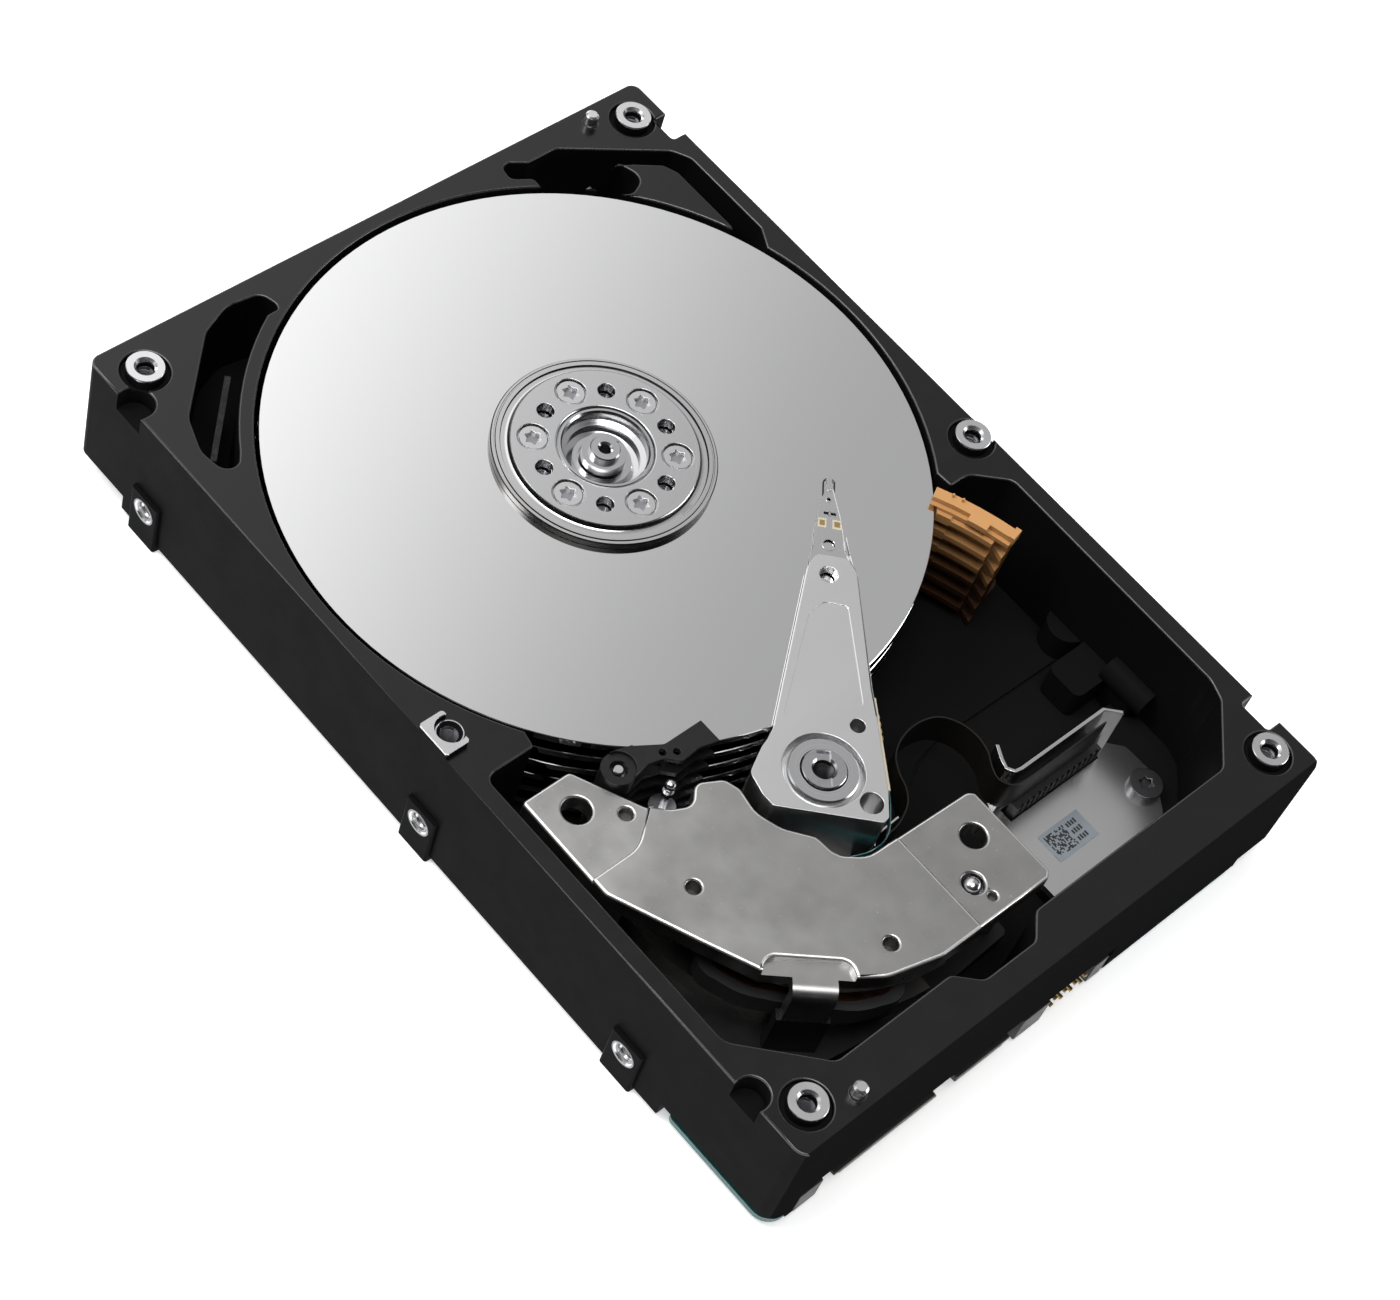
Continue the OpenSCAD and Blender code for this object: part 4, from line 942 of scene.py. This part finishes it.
def board_pads():
    """Solder pads in a row down the flex stiffener, where the flexure tails end."""
    shape = Shape()
    for k in range(ARM_COUNT):
        z = TOP_ARM_Z - k * PLATTER_PITCH
        for i in range(4):
            x = 8.0 + 1.1 * i
            shape.block((x, -0.47, z - 0.35), (x + 0.6, -0.41, z + 0.15))
    first, last = Vector((-1.5, -8.86)), Vector((10.1, -7.07))
    angle = math.atan2(last.y - first.y, last.x - first.x)
    beside = arm_place @ Matrix.Translation((first.x, first.y, 0)) @ Matrix.Rotation(angle, 4, "Z")
    return Shape().put(shape, beside)


piece("beam_rails", per_head(beam_rails), "beam_steel", arm_body)
piece("solder_frames", per_head(solder_frames), "flex_amber", arm_body)
piece("solder_pads", per_head(solder_pads), "contact_gold", arm_body)
piece("gimbal_arms", per_head(gimbal_arms), "chip_black", arm_body)
piece("flexure_tails", flexure_tails(), "beam_steel", arm_body)
piece("coil_lead", coil_lead(), "board_green", arm_body)
piece("board_pads", board_pads(), "contact_gold", arm_body)


# ------------------------------------------------------------------ ribbon cable

RIBBON_ROUTE = [
    (-4.6, -43.3), (-2.4, -43.1), (-0.4, -42.4), (1.5, -41.3), (2.9, -39.5), (3.8, -37.2), (5.4, -34.9),
    (8.2, -33.4), (11.6, -33.0), (14.7, -33.9), (16.6, -36.3), (17.2, -39.2), (16.7, -41.9), (15.4, -44.1),
    (14.8, -46.0), (15.7, -47.7), (17.6, -48.3), (22, -48.35), (28, -48.35), (34.6, -48.35),
]


def ribbon():
    """Flat cable standing on edge, with a thin raised band of conductors on both faces."""
    low, high = bottom_of("flex_cable"), top_of("flex_cable")
    middle = (low + high) / 2
    half, skin, band = (high - low) / 2, 0.1, 0.12
    section = [(-skin, -half), (skin, -half), (skin, -half + 0.5), (band, -half + 0.6), (band, half - 0.6),
               (skin, half - 0.5), (skin, half), (-skin, half), (-skin, half - 0.5), (-band, half - 0.6),
               (-band, -half + 0.6), (-skin, -half + 0.5)]
    route = curved([(x, y, middle) for x, y in RIBBON_ROUTE])
    shape = Shape().sweep(section, route)
    obj = piece("ribbon", shape, "cable_dark", None)
    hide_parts("flex_cable")
    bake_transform(obj)


ribbon()


# ------------------------------------------------------------------ underside of the circuit board

def bundle(shape, route, count, pitch, width):
    """Parallel conductors along a route."""
    points = [Vector(p) for p in route]
    for k in range(count):
        shift = (k - (count - 1) / 2) * pitch
        moved = []
        for i, point in enumerate(points):
            before = (point - points[i - 1]).normalized() if i > 0 else (points[1] - point).normalized()
            after = (points[i + 1] - point).normalized() if i + 1 < len(points) else before
            along = (before + after).normalized()
            side = Vector((-along.y, along.x))
            moved.append(point + side * shift / max(0.5, side.dot(Vector((-before.y, before.x)))))
        shape.prism(strip(moved, width), BOARD_UNDER_Z - 0.03, BOARD_UNDER_Z + 0.01)


def board_traces():
    shape = Shape()
    bundle(shape, [(22, -52), (14, -52), (6, -60), (-12, -60), (-16, -64)], 7, 0.55, 0.25)
    bundle(shape, [(24, -46), (24, -38), (12, -26), (12, -20), (6, -14.5)], 4, 0.8, 0.4)
    bundle(shape, [(36, -50), (41.5, -44), (41.5, -24), (34, -17)], 6, 0.5, 0.22)
    bundle(shape, [(16, -56), (4, -56), (-8, -46), (-30, -46)], 8, 0.5, 0.22)
    bundle(shape, [(-34, -62), (-42, -56), (-42, -42), (-34, -36)], 3, 1.0, 0.55)
    bundle(shape, [(20, -42), (4, -42), (-6, -34), (-14, -34)], 5, 0.55, 0.25)
    return shape


def dots(shape, spots, radius):
    for spot in spots:
        shape.dome(spot, 0, radius, -0.05, 12, 2)


def board_dots():
    """Solder joints of the connector, test pads and vias."""
    shape = Shape()
    power_row = [(-37 + PLUG_PITCH * i, PLUG_ROW_Y) for i in range(15)]
    signal_row = [(-14.6 + PLUG_PITCH * i, PLUG_ROW_Y) for i in range(7)]
    dots(shape, power_row + signal_row, 0.42)
    dots(shape, [(3.8 + 2 * i, PLUG_ROW_Y + 2 * j) for i in range(4) for j in range(2)], 0.6)
    dots(shape, [(-26 + 3.1 * i, -50.5 - 1.2 * (i % 2)) for i in range(9)], 0.7)
    dots(shape, [(19.5 + 1.9 * i, -34 - 2.2 * (i % 3)) for i in range(8)], 0.6)
    dots(shape, [(-2.4 + 1.6 * i, -12.4) for i in range(4)], 0.6)
    dots(shape, [(-12 + 2.3 * (i % 6), -28 + 2.6 * (i // 6)) for i in range(18)], 0.3)
    dots(shape, [(30 + 1.4 * (i % 5), -30 + 1.7 * (i // 5)) for i in range(20)], 0.25)
    placed = Shape()
    return placed.put(shape, Matrix.Translation((0, 0, BOARD_UNDER_Z + 0.005)))


def two_ended_parts():
    """Places and quarter turns of the small two-ended components."""
    row = [((-6 + 3.4 * i, -50.2), i % 2) for i in range(5)]
    block = [((28 + 2.6 * (i % 3), -40.5 + 2.4 * (i // 3)), 1) for i in range(6)]
    return row + block + [((-34 + 2.8 * i, -40.0), 0) for i in range(4)]


def small_parts(ends):
    """Bodies of the small components, or their bright ends."""
    shape = Shape()
    for (x, y), turned_over in two_ended_parts():
        one = Shape()
        spans = ((-0.85, -0.55), (0.55, 0.85)) if ends else ((-0.56, 0.56),)
        height = 0.52 if ends else 0.5
        for low, high in spans:
            one.block((low, -0.42, BOARD_UNDER_Z - height), (high, 0.42, BOARD_UNDER_Z + 0.01))
        shape.put(one, Matrix.Translation((x, y, 0)) @ Matrix.Rotation(math.pi / 2 * turned_over, 4, "Z"))
    return shape


def board_marks():
    """Outlines printed round groups of parts."""
    shape = Shape()
    for x0, y0, x1, y1 in ((-8.2, -52, 10, -48.6), (26.2, -42.4, 35, -36.2), (-36.2, -41.4, -23.6, -38.6)):
        corners = [(x0, y0), (x1, y0), (x1, y1), (x0, y1)]
        for a, b in zip(corners, corners[1:] + corners[:1]):
            shape.prism(strip([a, b], 0.16), BOARD_UNDER_Z - 0.015, BOARD_UNDER_Z + 0.01)
    return shape


piece("board_traces", board_traces(), "board_green", base_body,
      finish=plastic("trace_green", (0.02, 0.2, 0.18), 0.35))
piece("board_dots", board_dots(), "contact_gold", base_body)
piece("part_bodies", small_parts(False), "chip_black", base_body, 0.06,
      finish=plastic("part_brown", (0.16, 0.1, 0.06), 0.4))
piece("part_ends", small_parts(True), "pin_steel", base_body, 0.05)
piece("board_marks", board_marks(), "board_green", base_body,
      finish=plastic("print_white", (0.7, 0.7, 0.68), 0.6))


# ------------------------------------------------------------------ studio

def look_along(heading, pitch, roll):
    """Rotation of a camera that looks along heading (from +X) and pitch, then rolls clockwise."""
    h, p = math.radians(heading), math.radians(pitch)
    forward = Vector((math.cos(h) * math.cos(p), math.sin(h) * math.cos(p), math.sin(p)))
    upright_turn = forward.to_track_quat("-Z", "Y")
    return upright_turn @ Matrix.Rotation(math.radians(roll), 3, "Z").to_quaternion()


# Solved on the drive's mounting holes and outline in the photograph
CAMERA_LENS = 81.3
CAMERA_PLACE = (-0.22658, -0.13364, 0.36320)
CAMERA_HEADING, CAMERA_PITCH, CAMERA_ROLL = 29.876, -53.818, 21.837


def add_camera():
    data = bpy.data.cameras.new("camera")
    data.sensor_width = 36
    data.lens = CAMERA_LENS
    data.clip_start = 0.01
    data.clip_end = 20
    obj = bpy.data.objects.new("camera", data)
    obj.rotation_mode = "QUATERNION"
    obj.location = CAMERA_PLACE
    obj.rotation_quaternion = look_along(CAMERA_HEADING, CAMERA_PITCH, CAMERA_ROLL)
    scene.collection.objects.link(obj)
    scene.camera = obj


def add_panel(name, place, aim, width, height, power):
    """A rectangular light, in metres and watts, that faces the point aim."""
    data = bpy.data.lights.new(name, "AREA")
    data.shape = "RECTANGLE"
    data.size = width
    data.size_y = height
    data.energy = power
    obj = bpy.data.objects.new(name, data)
    obj.location = place
    obj.rotation_mode = "QUATERNION"
    obj.rotation_quaternion = (Vector(aim) - Vector(place)).to_track_quat("-Z", "Y")
    scene.collection.objects.link(obj)
    return obj


def add_floor():
    """White paper just under the drive, which shows its shadow."""
    size, gap = 4.0, 0.0002
    mesh = bpy.data.meshes.new("floor")
    corners = [(-size, -size, 0), (size, -size, 0), (size, size, 0), (-size, size, 0)]
    mesh.from_pydata(corners, [], [(0, 1, 2, 3)])
    obj = bpy.data.objects.new("floor", mesh)
    obj.location.z = cad_box[0].z - gap
    scene.collection.objects.link(obj)
    f = Finish("floor_paper", (0.9, 0.9, 0.9), 0.9, specular=0.1)
    f.shader.inputs["Emission Color"].default_value = (1, 1, 1, 1)
    f.shader.inputs["Emission Strength"].default_value = 0.45
    mesh.materials.append(f.material)


# Towards the wide soft source, and towards the unlit side of the room
BRIGHT_SIDE = (-0.402, 0.912, -0.078)
DIM_SIDE = (-0.5, -0.866, 0)
# Towards the softbox above the camera
OVERHEAD = (-0.19, -0.11, 0.975)


def add_world():
    """Studio light: a wide soft source on one side of the sky that fades into dimmer ones."""
    world = bpy.data.worlds.new("studio")
    world.use_nodes = True
    tree = world.node_tree
    background = tree.nodes["Background"]
    background.inputs["Color"].default_value = (1, 1, 1, 1)
    direction = tree.nodes.new("ShaderNodeTexCoord").outputs["Generated"]

    def fade(value, from_low, from_high, low, high):
        mapped = tree.nodes.new("ShaderNodeMapRange")
        mapped.interpolation_type = "SMOOTHSTEP"
        ranges = {"From Min": from_low, "From Max": from_high, "To Min": low, "To Max": high}
        for key, number in ranges.items():
            mapped.inputs[key].default_value = number
        tree.links.new(value, mapped.inputs["Value"])
        return mapped.outputs["Result"]

    def towards(axis):
        dot = tree.nodes.new("ShaderNodeVectorMath")
        dot.operation = "DOT_PRODUCT"
        dot.inputs[1].default_value = axis
        tree.links.new(direction, dot.inputs[0])
        return dot.outputs["Value"]

    def product(a, b):
        multiply = tree.nodes.new("ShaderNodeMath")
        multiply.operation = "MULTIPLY"
        tree.links.new(a, multiply.inputs[0])
        tree.links.new(b, multiply.inputs[1])
        return multiply.outputs["Value"]

    height = tree.nodes.new("ShaderNodeSeparateXYZ")
    tree.links.new(direction, height.inputs["Vector"])
    wide = fade(towards(BRIGHT_SIDE), -0.03, 0.27, 0.41, 1.25)
    low_sky = fade(height.outputs["Z"], 0.05, 0.6, 0.06, 1.0)
    dim = fade(towards(DIM_SIDE), -0.1, 0.12, 1.0, 0.07)
    sides = product(product(wide, low_sky), dim)
    overhead = fade(towards(OVERHEAD), 0.925, 0.965, 0.0, 5.5)
    total = tree.nodes.new("ShaderNodeMath")
    tree.links.new(sides, total.inputs[0])
    tree.links.new(overhead, total.inputs[1])
    tree.links.new(total.outputs["Value"], background.inputs["Strength"])
    scene.world = world


scene.view_settings.view_transform = "Standard"
add_camera()
add_floor()
add_world()
add_panel("key", (-0.5, 0.45, 0.8), (0, 0, 0), 0.35, 0.35, 3.0)
add_panel("rim", (0.52, -0.52, 0.11), (0.02, 0, 0.01), 0.5, 0.16, 1.2)
